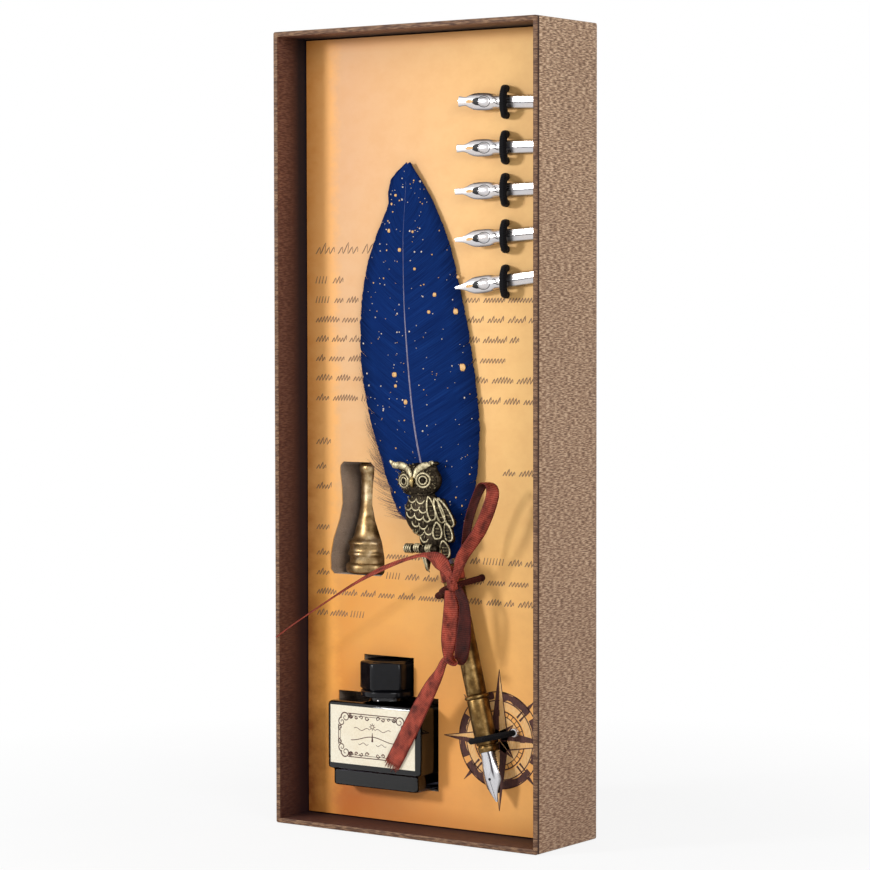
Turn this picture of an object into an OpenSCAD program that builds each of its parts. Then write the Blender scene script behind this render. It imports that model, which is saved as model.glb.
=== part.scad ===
// Calligraphy set in a shallow rigid box that stands on its short end.
// X is the box's width, Z its height, and the open face looks towards -Y.
// The origin is the middle of the box's footprint, at its underside.

/* [Box] */
// Outer width of the box
box_width = 119; // [110:1:140]
// Outer height of the box
box_height = 300; // [296:1:330]
// Depth of the free space between the rim and the card
recess = 17.5; // [16.5:0.5:22]
// Thickness of the foam insert
insert_thick = 20.4; // [20:0.2:26]
// Thickness of the printed card on the insert
card_thick = 0.5; // [0.3:0.1:0.8]
// Thickness of the greyboard in the walls
board_thick = 1.3; // [1:0.1:2]
// Thickness of the cover paper
wrap_thick = 0.3; // [0.2:0.05:0.4]
// Thickness of the lining paper
lining_thick = 0.2; // [0.1:0.05:0.3]
// Gap between the insert and the lining on each side
side_gap = 0.5; // [0.2:0.1:0.9]

/* [Pen] */
// Lean of the pen from upright
pen_tilt = 14; // [12:0.5:15]
// Diameter of the barrel
barrel_d = 7.6; // [7:0.2:8]
// Length of the barrel above the collar
barrel_len = 49; // [48:0.5:50]
// Diameter of the grip
grip_d = 8.2; // [7.8:0.1:8.4]
// Length of the grip from its end ring to the collar
grip_len = 19.7; // [19:0.1:20.5]
// Diameter of the ring between grip and barrel
collar_d = 9.4; // [8.8:0.1:9.8]
// Length of that ring
collar_len = 1.6; // [1.2:0.1:2.2]
// Length of nib that shows below the grip
nib_show = 20.5; // [20:0.1:21]
// Outer diameter of the nib's arched sheet
nib_d = 6; // [5.4:0.1:6]
// Thickness of the nib's sheet
nib_sheet = 0.35; // [0.3:0.05:0.5]
// Length of nib inside the grip
nib_shank = 9; // [8:0.5:10]
// Diameter of the quill where it enters the barrel
quill_d = 3.2; // [2.6:0.1:3.4]

/* [Feather and charm] */
// Thickness of the vane's solid
vane_thick = 0.5; // [0.4:0.1:0.6]
// Thickness of the owl casting
owl_thick = 3.6; // [3.2:0.1:4.2]

/* [Ribbon and elastic] */
// Width of the satin ribbon
ribbon_width = 7; // [6:0.5:7.5]
// Thickness of the ribbon's solid
ribbon_thick = 0.8; // [0.7:0.1:0.9]
// Diameter of the elastic over the spare nibs
loop_cord_d = 2.6; // [2.2:0.1:2.8]
// Diameter of the two elastics over the pen
pen_cord_d = 2; // [1.6:0.1:2.2]
// Depth to which the elastics run into the foam
cord_bite = 6; // [4:0.5:9]

/* [Bottle] */
// Width of the bottle
bottle_width = 43.4; // [40:0.2:44]
// Depth of the bottle, front to back
bottle_depth = 21; // [20:0.5:23]
// Height of the bottle's body above its foot
bottle_body = 25.6; // [24:0.2:26.4]
// Height of the stepped foot
foot_height = 6.4; // [5:0.2:7]
// How far the foot steps in at each side
foot_inset = 2; // [1:0.2:3]
// How far the bottle stands out in front of the card
bottle_proud = 10.5; // [10:0.1:11]
// Thickness of the glass
glass_wall = 2.4; // [1.8:0.2:3]
// Outer diameter of the bottle's neck
neck_d = 15; // [13:0.5:16]
// Diameter of the bottle's mouth
mouth_d = 10; // [8:0.5:10.5]
// Diameter of the cap over its corners
cap_corner_d = 22.4; // [21:0.2:23]
// Height of the cap
cap_height = 13.6; // [12:0.2:14.4]
// Width of the paper label
label_width = 39.2; // [34:0.2:39.6]
// Height of the paper label
label_height = 22; // [18:0.5:22.5]

/* [Pen stand] */
// Height of the stand
stand_height = 42; // [40:0.5:42.4]
// Diameter of the stand's base
stand_base_d = 20; // [18:0.5:20.4]
// Diameter of the stand's neck
stand_neck_d = 8.2; // [8:0.1:9]
// Diameter of the stand's rolled lip
stand_lip_d = 9; // [9:0.1:10]
// Diameter of the hole that takes a nib
socket_d = 6.6; // [6.2:0.1:6.8]
// Depth of that hole
socket_depth = 22; // [20:0.5:26]

/* [Spare nibs] */
// Length of a spare nib
spare_length = 37; // [35:0.5:37.5]
// Width of a spare nib, over its arched sheet
spare_width = 5.2; // [4.8:0.1:5.4]
// Lean of a spare nib, tip away from the card
spare_rise = 4; // [3.5:0.5:5]

/* [Hidden] */

// Clearances and seats
fit_gap = 0.05;
seat_gap = 0.3;
cord_gap = 0.3;
// Smallest difference that keeps cutting shapes from sharing a face
cut = 1;

// Box
wall = wrap_thick + board_thick + lining_thick;
back_wall = wrap_thick + board_thick;
box_depth = recess + card_thick + insert_thick + back_wall;
y_rim = -box_depth / 2;
y_card = y_rim + recess;
y_foam = y_card + card_thick;
y_floor = box_depth / 2 - back_wall;
half_w = box_width / 2;
insert_w = box_width - 2 * wall - 2 * side_gap;
insert_low = wall + side_gap;
insert_h = box_height - 2 * insert_low;

// Bottle, its pocket and its cap
bottle_x = -18.9;
bottle_low = 15.6;
y_bottle = y_card + bottle_depth / 2 - bottle_proud;
bottle_corner = 2;
bottle_top = bottle_low + foot_height + bottle_body;
cap_low = bottle_top + 2.4;
cap_skirt = 2.2;
cap_wall = 2;
liner_thick = 1;
neck_top = cap_low + cap_height - cap_wall - liner_thick;
pocket_left = 2;
pocket_right = 1.2;
pocket_over = 2.6;
cap_room_r = cap_corner_d / 2 + 0.4;
label_thick = 0.15;
label_rise = 0.4;

// Pen stand and its pocket
stand_x = -34.2;
stand_low = 95;
stand_floor = 0.7;
y_stand = y_floor - stand_floor + 0.1 - stand_base_d / 2;
stand_pocket_x = -33.6;
stand_play = 2.8;
base_band = 12.6;
lip_height = 4;

// Spare nibs and their loops, from the top row down
nib_tip_x = 15.4;
nib_downs = [28.3, 45.5, 61.3, 79.1, 96.6];
nib_rows = [for (down = nib_downs) box_height - down];
nib_turns = [-2, 0, 1, 4, 7];
nib_points = [2.5, 2, 1.5, 1, 0.6];
loop_x = 34.6;
loop_span = 9.6;
spare_sheet = 0.35;
spare_r = spare_width / 2;
loop_bend = 2.6;
nib_end_rise = spare_length * sin(spare_rise);

// Pen, measured along its axis from the nib's point
pen_tip_x = 34.95;
pen_tip_z = 13.4;
pen_h = collar_d / 2 + seat_gap + 0.1;
grip_top = nib_show + grip_len;
barrel_low = grip_top + collar_len;
barrel_top = barrel_low + barrel_len;
stub_d = 5.2;
stub_len = 6;
quill_bite = 10;
lower_loop_s = nib_show + 4.9;
tie_s = barrel_top - 8.8;
tie_skew = 9;
foot_out = 10.2;
tie_out = 9.5;
foot_rise = 1.6;
wrap_low = barrel_top - 6.2;
wrap_len = 5;
knot_turn = 35;
wrap_r = barrel_d / 2 + fit_gap + 0.7;

// Feather: quill line as x from the barrel's end, height over the card, and share of its length
above_feather = 50;
barrel_end_x = pen_tip_x - barrel_top * sin(pen_tilt);
barrel_end_z = pen_tip_z + barrel_top * cos(pen_tilt);
feather_len = box_height - above_feather - barrel_end_z;
quill_shape = [[0, pen_h, 0], [-2.9, 5.9, 0.07], [-7.1, 6.8, 0.16], [-11.6, 7.2, 0.25],
    [-15.4, 6.4, 0.35], [-18.3, 5.2, 0.455], [-20.4, 4.2, 0.555], [-21.9, 3.5, 0.655],
    [-22.7, 2.9, 0.805], [-22.1, 2.5, 0.905], [-21.4, 2.2, 1]];
quill_line = [for (p = quill_shape) [barrel_end_x + p[0], p[1], barrel_end_z + p[2] * feather_len]];
quill_r = [1.6, 1.3, 1.1, 0.95, 0.85, 0.75, 0.7, 0.6, 0.5, 0.4, 0.25];
left_reach = [1, 9, 19.5, 21.2, 22.6, 23.2, 22.9, 20.2, 13.6, 9, 1.5];
right_reach = [2, 8, 16, 22.4, 26, 27, 26.6, 24.8, 19.4, 11.4, 1.5];
left_edge_h = [5.4, 4.8, 4.2, 3.6, 3.2, 2.8, 2.6, 2.3, 2, 1.8, 2];
right_edge_h = [5.4, 5, 3.6, 2.4, 1.8, 1.4, 1.4, 1.4, 1.4, 1.4, 1.8];

// Ribbon routes as x, height over the card, z
upper_loop_line = [[21.6, 13.4, 99.2], [25.5, 15.2, 108], [30, 15.8, 119], [35.6, 15.6, 130.5],
    [38.6, 14, 132.6], [38, 12.4, 128], [33.5, 11.6, 116], [27.5, 11.6, 106], [23.6, 11.8, 100.2]];
lower_loop_line = [[19.6, 14.6, 93], [17.8, 16, 84], [17.8, 16.6, 75], [19.8, 16, 68.6],
    [22.6, 14.6, 66.4], [24.6, 13, 69], [25.2, 12.5, 78], [23.6, 12.5, 87], [21.4, 12.8, 92.4]];
left_tail_line = [[18.4, 14.6, 99.8], [15.4, 15.6, 103.6], [10, 16.4, 105.6], [2.9, 16.6, 104.1],
    [-9, 16.8, 99.8], [-22.6, 17.2, 93.1], [-36, 17.8, 85.2], [-50, 18.3, 76.6], [-58.6, 18.3, 71]];
left_tail_half = [1.7, 3.2, 3, 2.2, 1.5, 1.1, 0.9, 0.8, 0.7];
lower_tail_line = [[17, 15.6, 66], [14.8, 15.2, 62], [10.6, 14.2, 56.6], [5.6, 13, 49.6],
    [0.8, 12, 42.2], [-3.8, 11.5, 34.8], [-8.8, 11.4, 26.4]];
lower_tail_half = [1.2, 2.4, 3.4, 3.5, 3.5, 3.5, 3.4];

// Owl: its masses as balls given by x and z from the barrel's end and radius
quill_crest = max([for (i = [0:len(quill_line) - 1]) quill_line[i][1] + quill_r[i]]);
owl_back = quill_crest + seat_gap;
owl_head = [[-13.9, 30.9, 6.1], [-6.7, 31.1, 6.1]];
owl_body = [[-8.2, 18.3, 7.8], [-4.4, 9.1, 4.6]];
owl_wing = [[-2, 21, 3.6], [2.6, 16.9, 4], [3, 11.9, 3.2], [0.6, 3.9, 2.6]];
owl_left_tuft = [[-12.4, 34, 1.4], [-21.4, 37.1, 1]];
owl_right_tuft = [[-10, 34, 1.4], [-1.4, 38.1, 1]];
owl_perch = [-9.2, 5.6];
owl_perch_len = 14.6;

function at(p) = [p[0], y_card - p[1], p[2]];
function unit(v) = v / norm(v);
function tangent(line, i) = unit(line[min(i + 1, len(line) - 1)] - line[max(i - 1, 0)]);
function in_tangent_plane(v, t) = unit(v - (v * t) * t);
function ring(centre, u, v, sides) =
    [for (k = [0:sides - 1]) centre + cos(360 * k / sides) * u + sin(360 * k / sides) * v];

// Closed skin over rings given by their centres and two half axes each
module skin(centres, us, vs, sides = 8) {
    last = len(centres) - 1;
    points = [for (i = [0:last]) each ring(centres[i], us[i], vs[i], sides)];
    walls = [for (i = [0:last - 1], k = [0:sides - 1]) let (
            a = i * sides + k,
            b = i * sides + (k + 1) % sides)
        each [[a, a + sides, b], [b, a + sides, b + sides]]];
    low_end = [[for (k = [0:sides - 1]) k]];
    high_end = [[for (k = [0:sides - 1]) last * sides + sides - 1 - k]];
    polyhedron(points, concat(low_end, walls, high_end), convexity = 6);
}

// Round cord along a line of points, with one radius or one for each point
module cord(line, radii, side_hint = [1, 0, 0], sides = 8) {
    tangents = [for (i = [0:len(line) - 1]) tangent(line, i)];
    us = [for (i = [0:len(line) - 1]) radii[i] * in_tangent_plane(side_hint, tangents[i])];
    vs = [for (i = [0:len(line) - 1]) radii[i] * unit(cross(tangents[i], us[i]))];
    skin(line, us, vs, sides);
}

// Flat ribbon along a line, its width turned as near as can be to one direction
module ribbon(line, halves, side_hint) {
    tangents = [for (i = [0:len(line) - 1]) tangent(line, i)];
    us = [for (i = [0:len(line) - 1]) halves[i] * in_tangent_plane(side_hint, tangents[i])];
    vs = [for (i = [0:len(line) - 1]) ribbon_thick / 2 * unit(cross(tangents[i], us[i]))];
    skin(line, us, vs, 8);
}

// Box shape between two corners
module span(low, high) {
    translate(low) cube(high - low);
}

// Flat outline in the card's plane, drawn out from one depth to another
module plate(y_front, y_back) {
    translate([0, y_back, 0]) rotate([90, 0, 0]) linear_extrude(y_back - y_front) children();
}

// Upright block with round corners
module round_block(w, d, h, r) {
    translate([-w / 2 + r, -d / 2, 0]) cube([w - 2 * r, d, h]);
    translate([-w / 2, -d / 2 + r, 0]) cube([w, d - 2 * r, h]);
    for (x = [-1, 1], y = [-1, 1])
        translate([x * (w / 2 - r), y * (d / 2 - r), 0]) cylinder(r = r, h = h, $fn = 48);
}

module back_board() {
    color("dimgray")
        span([-half_w + wrap_thick, y_floor, wrap_thick],
            [half_w - wrap_thick, y_floor + board_thick, box_height - wrap_thick]);
}

module side_board(side) {
    x_out = side * (half_w - wrap_thick);
    x_in = side * (half_w - wrap_thick - board_thick);
    color("dimgray")
        span([min(x_out, x_in), y_rim + wrap_thick, wrap_thick],
            [max(x_out, x_in), y_floor, box_height - wrap_thick]);
}

module end_board(low) {
    half = half_w - wrap_thick - board_thick;
    color("dimgray")
        span([-half, y_rim + wrap_thick, low], [half, y_floor, low + board_thick]);
}

module cover_side(side) {
    x_out = side * half_w;
    x_in = side * (half_w - wrap_thick);
    color("peru")
        span([min(x_out, x_in), y_rim, 0],
            [max(x_out, x_in), y_floor + board_thick, box_height]);
}

module cover_end(low) {
    half = half_w - wrap_thick;
    color("peru")
        span([-half, y_rim, low], [half, y_floor + board_thick, low + wrap_thick]);
}

module cover_back() {
    color("peru")
        span([-half_w, y_floor + board_thick, 0], [half_w, box_depth / 2, box_height]);
}

// Cover paper turned over the front edge of the boards
module rim_paper() {
    outer = half_w - wrap_thick;
    inner = half_w - wall;
    color("tan") difference() {
        span([-outer, y_rim, wrap_thick], [outer, y_rim + wrap_thick, box_height - wrap_thick]);
        span([-inner, y_rim - cut, wall], [inner, y_rim + cut, box_height - wall]);
    }
}

module wall_lining() {
    outer = half_w - wrap_thick - board_thick;
    inner = half_w - wall;
    low = wrap_thick + board_thick;
    color("saddlebrown") difference() {
        span([-outer, y_rim + wrap_thick, low], [outer, y_floor, box_height - low]);
        span([-inner, y_rim - cut, wall], [inner, y_floor + cut, box_height - wall]);
    }
}

// Outline of the stand's pocket: wide at the foot, waisted at the neck
module stand_pocket_outline() {
    foot = stand_base_d / 2 + stand_play;
    waist = stand_neck_d / 2 + stand_play + 0.2;
    head = stand_lip_d / 2 + stand_play + 0.8;
    low = stand_low - seat_gap;
    bell = low + base_band;
    high = stand_low + stand_height + seat_gap + 0.4;
    chamfer = 1.6;
    right = [[foot - chamfer, low], [foot, low + chamfer], [foot, bell - 5.6], [foot - 1.2, bell + 0.4],
        [waist + 1.4, bell + 8.4], [waist, bell + 14.4], [waist + 0.2, bell + 20.4],
        [head, high - 4], [head, high - chamfer], [head - chamfer, high]];
    left = [for (i = [len(right) - 1:-1:0]) [-right[i][0], right[i][1]]];
    translate([stand_pocket_x, 0]) polygon(concat(right, left));
}

// Everything that is cut out of the card and the foam
module pocket_cuts() {
    half = bottle_width / 2;
    y_deep = y_bottle + bottle_depth / 2 + 0.15;
    span([bottle_x - half - pocket_left, y_card - cut, bottle_low - seat_gap],
        [bottle_x + half + pocket_right, y_deep, bottle_top + pocket_over]);
    translate([bottle_x, y_bottle, bottle_top])
        cylinder(r = cap_room_r, h = cap_low + cap_height + 1.2 - bottle_top, $fn = 96);
    plate(y_card - cut, y_floor - stand_floor + 0.2) stand_pocket_outline();
    for (i = [0:4], side = [-1, 1])
        translate([loop_x, y_foam + cord_bite + fit_gap, loop_z(i) + side * loop_span / 2])
            rotate([90, 0, 0])
                cylinder(d = loop_cord_d + 2 * fit_gap, h = cord_bite + card_thick + cut, $fn = 32);
    along_pen(lower_loop_s) foot_holes(-lower_foot_in(), foot_out);
    along_pen(tie_s) rotate([0, -tie_skew, 0]) foot_holes(-tie_out, tie_out);
}

module foot_holes(left, right) {
    for (u = [left, right])
        translate([u, pen_h + card_thick + cord_bite + fit_gap, 0]) rotate([90, 0, 0])
            cylinder(d = pen_cord_d + 0.4, h = cord_bite + card_thick + cut, $fn = 32);
}

module foam_insert() {
    color("black") difference() {
        span([-insert_w / 2, y_foam, insert_low], [insert_w / 2, y_floor, insert_low + insert_h]);
        pocket_cuts();
    }
}

module printed_card() {
    color("burlywood") difference() {
        span([-insert_w / 2, y_card, insert_low], [insert_w / 2, y_foam, insert_low + insert_h]);
        pocket_cuts();
    }
}

// Spare nibs lie tip to the left, in a frame whose z points away from the card
module nib_place(i) {
    translate([nib_tip_x, y_card - seat_gap - nib_end_rise, nib_rows[i]])
        rotate([90, 0, 0]) rotate([0, 0, nib_turns[i]]) rotate([0, spare_rise, 0]) children();
}

function loop_z(i) = nib_rows[i] + (loop_x - nib_tip_x) * tan(nib_turns[i]);

module spare_nib(i) {
    shoulder = 9;
    waist = 15.5;
    half = spare_width / 2 + cut;
    point = nib_points[i] / 2;
    neck = spare_width / 2 - 0.35;
    color("silver") nib_place(i) difference() {
        intersection() {
            rotate([0, 90, 0]) cylinder(r = spare_r, h = spare_length, $fn = 64);
            linear_extrude(spare_r + cut) polygon([[0, -point], [shoulder, -half], [shoulder + 3, -half],
                [waist, -neck], [waist + 3, -half], [spare_length, -half], [spare_length, half],
                [waist + 3, half], [waist, neck], [shoulder + 3, half], [shoulder, half], [0, point]]);
        }
        translate([-cut, 0, 0]) rotate([0, 90, 0])
            cylinder(r = spare_r - spare_sheet, h = spare_length + 2 * cut, $fn = 64);
        translate([shoulder + 0.5, 0, 0]) cylinder(d = 1.1, h = spare_r + cut, $fn = 24);
    }
}

// Elastic over a spare nib: two legs, two bends and a straight top
module nib_loop(i) {
    nib_top = seat_gap + (nib_tip_x + spare_length - loop_x) * tan(spare_rise) + spare_r;
    top = nib_top + cord_gap + loop_cord_d / 2;
    half = loop_span / 2;
    flat = half - loop_bend;
    translate([loop_x, y_card, loop_z(i)]) rotate([90, 0, 0]) {
        for (side = [-1, 1]) {
            translate([0, side * half, -card_thick - cord_bite])
                cylinder(d = loop_cord_d, h = top - loop_bend + card_thick + cord_bite, $fn = 32);
            translate([0, side * flat, top - loop_bend]) rotate([90, 0, side * 90])
                rotate_extrude(angle = 90, $fn = 48) translate([loop_bend, 0])
                    circle(d = loop_cord_d, $fn = 32);
        }
        translate([0, -flat, top]) rotate([-90, 0, 0])
            cylinder(d = loop_cord_d, h = 2 * flat, $fn = 32);
    }
}

module nib_loops() {
    color("black") for (i = [0:4]) nib_loop(i);
}

// Pen frame: z runs up the pen from the nib's point, -y faces the viewer
module along_pen(s) {
    translate([pen_tip_x, y_card - pen_h, pen_tip_z]) rotate([0, -pen_tilt, 0])
        translate([0, 0, s]) children();
}

function lower_foot_in() = grip_d / 2 + cord_gap + pen_cord_d / 2;

// Line of an elastic that stands up, passes over a round part and runs down to a far foot
function over_line(r, left, right, low) = concat(
    [[-left, low, 0], [-left, pen_h, 0]],
    [for (a = [180:-25:40]) [r * cos(a), -r * sin(a), 0]],
    [[right, pen_h - foot_rise, 0], [right, low, 0]]);

module elastic_over(r, left, right) {
    line = over_line(r, left, right, pen_h + card_thick + cord_bite);
    cord(line, [for (p = line) pen_cord_d / 2], [0, 0, 1], 10);
}

module pen_lower_loop() {
    color("black") along_pen(lower_loop_s)
        elastic_over(lower_foot_in(), lower_foot_in(), foot_out);
}

// Metal ring that holds the elastic's right foot, just off the card
module loop_crimp() {
    length = 0.9;
    off_card = 0.1;
    bore = pen_cord_d + 2 * fit_gap;
    color("white") along_pen(lower_loop_s) translate([foot_out, pen_h - off_card, 0])
        rotate([90, 0, 0]) difference() {
            cylinder(d = pen_cord_d + 1.2, h = length, $fn = 32);
            translate([0, 0, -cut]) cylinder(d = bore, h = length + 2 * cut, $fn = 32);
        }
}

module pen_upper_tie() {
    r = barrel_d / 2 + cord_gap + pen_cord_d / 2;
    color("maroon") along_pen(tie_s) rotate([0, -tie_skew, 0]) elastic_over(r, tie_out, tie_out);
}

module pen_barrel() {
    edge = 0.6;
    color("darkgoldenrod") along_pen(barrel_low) difference() {
        rotate_extrude($fn = 96) polygon([[0, 0], [barrel_d / 2, 0], [barrel_d / 2, barrel_len - edge],
            [barrel_d / 2 - edge, barrel_len], [0, barrel_len]]);
        translate([0, 0, -cut]) cylinder(d = stub_d + 2 * fit_gap, h = stub_len + 0.4 + cut, $fn = 64);
        translate([0, 0, barrel_len - quill_bite - 0.4])
            cylinder(d = quill_d + 2 * fit_gap, h = quill_bite + cut, $fn = 48);
    }
}

module pen_collar() {
    bulge = 0.5;
    color("goldenrod") along_pen(grip_top) rotate_extrude($fn = 96) polygon([
        [stub_d / 2 + fit_gap, 0], [collar_d / 2 - bulge, 0], [collar_d / 2, bulge],
        [collar_d / 2, collar_len - bulge], [collar_d / 2 - bulge, collar_len],
        [stub_d / 2 + fit_gap, collar_len]]);
}

// Grip with a narrower end ring, a stub into the barrel and a bore for the nib
module pen_grip() {
    ring_len = 2.6;
    ring_r = grip_d / 2 - 0.5;
    groove_r = grip_d / 2 - 0.8;
    color("darkgoldenrod") along_pen(nib_show) difference() {
        rotate_extrude($fn = 96) polygon([[0, 0], [ring_r - 0.4, 0], [ring_r, 0.4],
            [ring_r, ring_len - 0.6], [groove_r, ring_len - 0.4], [groove_r, ring_len],
            [grip_d / 2 - 0.3, ring_len + 0.4], [grip_d / 2, ring_len + 6], [grip_d / 2, grip_len],
            [stub_d / 2, grip_len], [stub_d / 2, grip_len + collar_len + stub_len],
            [0, grip_len + collar_len + stub_len]]);
        translate([0, 0, -cut])
            cylinder(d = nib_d + 2 * fit_gap, h = nib_shank + 0.4 + cut, $fn = 64);
    }
}

// Half tube cut to the nib's outline, crest towards the viewer
module pen_nib() {
    total = nib_show + nib_shank;
    shoulder = 9.5;
    half = nib_d / 2 + cut;
    throat = nib_d / 2 - 0.3;
    color("silver") along_pen(0) difference() {
        intersection() {
            cylinder(d = nib_d, h = total, $fn = 64);
            plate(-half, 0) polygon([[0.3, 0], [half, shoulder], [half, shoulder + 1], [throat, nib_show],
                [half, nib_show + 1], [half, total], [-half, total], [-half, nib_show + 1],
                [-throat, nib_show], [-half, shoulder + 1], [-half, shoulder], [-0.3, 0]]);
        }
        translate([0, 0, -cut]) cylinder(r = nib_d / 2 - nib_sheet, h = total + 2 * cut, $fn = 64);
        translate([0, 0, shoulder + 0.4]) rotate([90, 0, 0]) cylinder(d = 1, h = nib_d, $fn = 24);
    }
}

// Ink feed under the nib: round, cut flat towards the crest, pointed at its end
module nib_feed() {
    r = nib_d / 2 - nib_sheet - fit_gap;
    low = 4;
    taper = 8;
    color("black") along_pen(0) intersection() {
        rotate_extrude($fn = 64) polygon([[0, low], [0.6, low], [r, low + taper],
            [r, nib_show + nib_shank], [0, nib_show + nib_shank]]);
        span([-nib_d, -r / 2, 0], [nib_d, nib_d, nib_show + nib_shank]);
    }
}

function quill_points() = [for (p = quill_line) at(p)];

module feather_quill() {
    color("thistle") {
        along_pen(barrel_top - quill_bite) cylinder(d = quill_d, h = quill_bite + 0.2, $fn = 48);
        cord(quill_points(), quill_r, [1, 0, 0], 8);
    }
}

// One half of the vane, from the quill's side out to the feather's edge
module feather_vane(side, reach, edge_h) {
    line = quill_line;
    first = 1;
    last = len(line) - 1;
    inner = [for (i = [first:last]) at(line[i]) + [side * (quill_r[i] + fit_gap), 0, 0]];
    outer = [for (i = [first:last]) at([line[i][0] + side * reach[i], edge_h[i], line[i][2]])];
    centres = [for (i = [0:last - first]) (inner[i] + outer[i]) / 2];
    us = [for (i = [0:last - first]) side * (outer[i] - inner[i]) / 2];
    vs = [for (i = [0:last - first]) [0, vane_thick / 2, 0]];
    color("navy") skin(centres, us, vs, 8);
}

module owl_charm() {
    y_back = y_card - owl_back;
    far = 10 * owl_perch_len;
    perch_r = owl_thick / 2 - 0.2;
    color("darkkhaki") translate([barrel_end_x, y_back, barrel_end_z]) intersection() {
        union() {
            for (mass = [owl_head, owl_body, owl_wing, owl_left_tuft, owl_right_tuft])
                hull() for (ball = mass)
                    translate([ball[0], 0, ball[1]]) sphere(r = ball[2], $fn = 32);
            translate([owl_perch[0] - owl_perch_len / 2, -owl_thick / 2, owl_perch[1]])
                rotate([0, 90, 0]) cylinder(r = perch_r, h = owl_perch_len, $fn = 32);
        }
        span([-far, -owl_thick, -far], [far, 0, far]);
    }
}

// Turn of ribbon round the barrel, just above the elastic tie
module ribbon_wrap() {
    color("firebrick") along_pen(wrap_low) difference() {
        cylinder(r = wrap_r, h = wrap_len, $fn = 64);
        translate([0, 0, -cut]) cylinder(r = barrel_d / 2 + fit_gap, h = wrap_len + 2 * cut, $fn = 64);
    }
}

// Knot on the side of the barrel that is turned to the right of the front
module ribbon_knot() {
    color("firebrick") along_pen(wrap_low) rotate([0, 0, knot_turn]) hull() {
        translate([0, -(wrap_r + 4.6), -2.2]) sphere(r = 1.8, $fn = 24);
        translate([0, -(wrap_r + 4.4), 1]) sphere(r = 2.2, $fn = 24);
        translate([0, -(wrap_r + 1.6), 2.4]) sphere(r = 1.5, $fn = 24);
    }
}

function route(line) = [for (p = line) at(p)];
function even_halves(line) = [for (i = [0:len(line) - 1])
    i == 0 || i == len(line) - 1 ? ribbon_width * 0.26 : ribbon_width / 2 - 0.4];
function scaled(halves) = [for (h = halves) h * ribbon_width / 7];

module bow_upper_loop() {
    color("firebrick") ribbon(route(upper_loop_line), even_halves(upper_loop_line), [0.7, 0.5, -0.4]);
}

module bow_lower_loop() {
    color("firebrick") ribbon(route(lower_loop_line), even_halves(lower_loop_line), [1, 0, 0]);
}

module ribbon_left_tail() {
    color("firebrick") ribbon(route(left_tail_line), scaled(left_tail_half), [0.5, 0, 0.9]);
}

module ribbon_lower_tail() {
    color("firebrick") ribbon(route(lower_tail_line), scaled(lower_tail_half), [0.8, 0, -0.6]);
}

// Bell-shaped stand with a banded base, a rolled lip and a hole for a nib
module pen_stand() {
    r = stand_base_d / 2;
    neck = stand_neck_d / 2;
    lip = stand_lip_d / 2;
    top = stand_height;
    color("darkgoldenrod") translate([stand_x, y_stand, stand_low]) difference() {
        rotate_extrude($fn = 96) polygon([[0, 0], [r - 0.6, 0], [r, 0.8], [r, 2.8], [r - 0.7, 3.6],
            [r - 1.3, 3.8], [r - 1.3, 6.4], [r - 0.7, 6.8], [r - 0.7, 7.8], [r - 1.3, 8.2],
            [r - 1.3, 10.6], [r - 0.8, 11], [r - 0.8, 11.8], [r - 1.6, base_band],
            [r - 2.4, base_band + 0.4], [neck + 2, base_band + 5.6], [neck + 0.7, base_band + 10],
            [neck + 0.1, base_band + 15], [neck, base_band + 19], [neck, top - lip_height],
            [lip - 0.1, top - lip_height + 0.5], [lip, top - lip_height / 2], [lip - 0.5, top - 0.5],
            [lip - 1, top], [0, top]]);
        translate([0, 0, top - socket_depth]) cylinder(d = socket_d, h = socket_depth + cut, $fn = 64);
    }
}

module on_bottle(z) {
    translate([bottle_x, y_bottle, z]) children();
}

// Glass shell: stepped foot, square-shouldered body and a round neck
module bottle_glass() {
    w = bottle_width;
    d = bottle_depth;
    color([0.08, 0.08, 0.12]) difference() {
        union() {
            on_bottle(bottle_low)
                round_block(w - 2 * foot_inset, d - foot_inset, foot_height, bottle_corner);
            on_bottle(bottle_low + foot_height) round_block(w, d, bottle_body, bottle_corner);
            on_bottle(bottle_top - cut) cylinder(d = neck_d, h = neck_top - bottle_top + cut, $fn = 64);
        }
        on_bottle(ink_low()) ink_block(0);
        on_bottle(bottle_top - glass_wall - cut)
            cylinder(d = mouth_d, h = neck_top - bottle_top + glass_wall + 2 * cut, $fn = 64);
    }
}

function ink_low() = bottle_low + glass_wall;

module ink_block(less) {
    side = foot_inset + glass_wall;
    round_block(bottle_width - 2 * side, bottle_depth - foot_inset - 2 * glass_wall,
        bottle_top - glass_wall - ink_low() - less, 1);
}

module ink() {
    color("midnightblue") on_bottle(ink_low()) ink_block(0);
}

module bottle_label() {
    low = bottle_low + foot_height + (bottle_body - label_height) / 2 + label_rise;
    y_front = y_bottle - bottle_depth / 2;
    width = min(label_width, bottle_width - 2 * bottle_corner);
    color("cornsilk")
        span([bottle_x - width / 2, y_front - label_thick, low],
            [bottle_x + width / 2, y_front, low + label_height]);
}

// Six-sided cap on a round skirt, hollow to take the neck
module bottle_cap() {
    r = cap_corner_d / 2;
    color([0.06, 0.06, 0.08]) on_bottle(cap_low) difference() {
        union() {
            cylinder(r = r - 0.5, h = cap_skirt, $fn = 96);
            rotate([0, 0, 30]) translate([0, 0, cap_skirt - 0.1])
                cylinder(r = r, h = cap_height - cap_skirt - 0.6, $fn = 6);
            rotate([0, 0, 30]) translate([0, 0, cap_height - 0.8]) cylinder(r = r - 0.8, h = 0.8, $fn = 6);
        }
        translate([0, 0, -cut])
            cylinder(d = neck_d + 2 * seat_gap, h = cap_height - cap_wall + cut, $fn = 64);
    }
}

module cap_liner() {
    color("white") on_bottle(neck_top) cylinder(d = neck_d - 0.4, h = liner_thick, $fn = 64);
}

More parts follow.
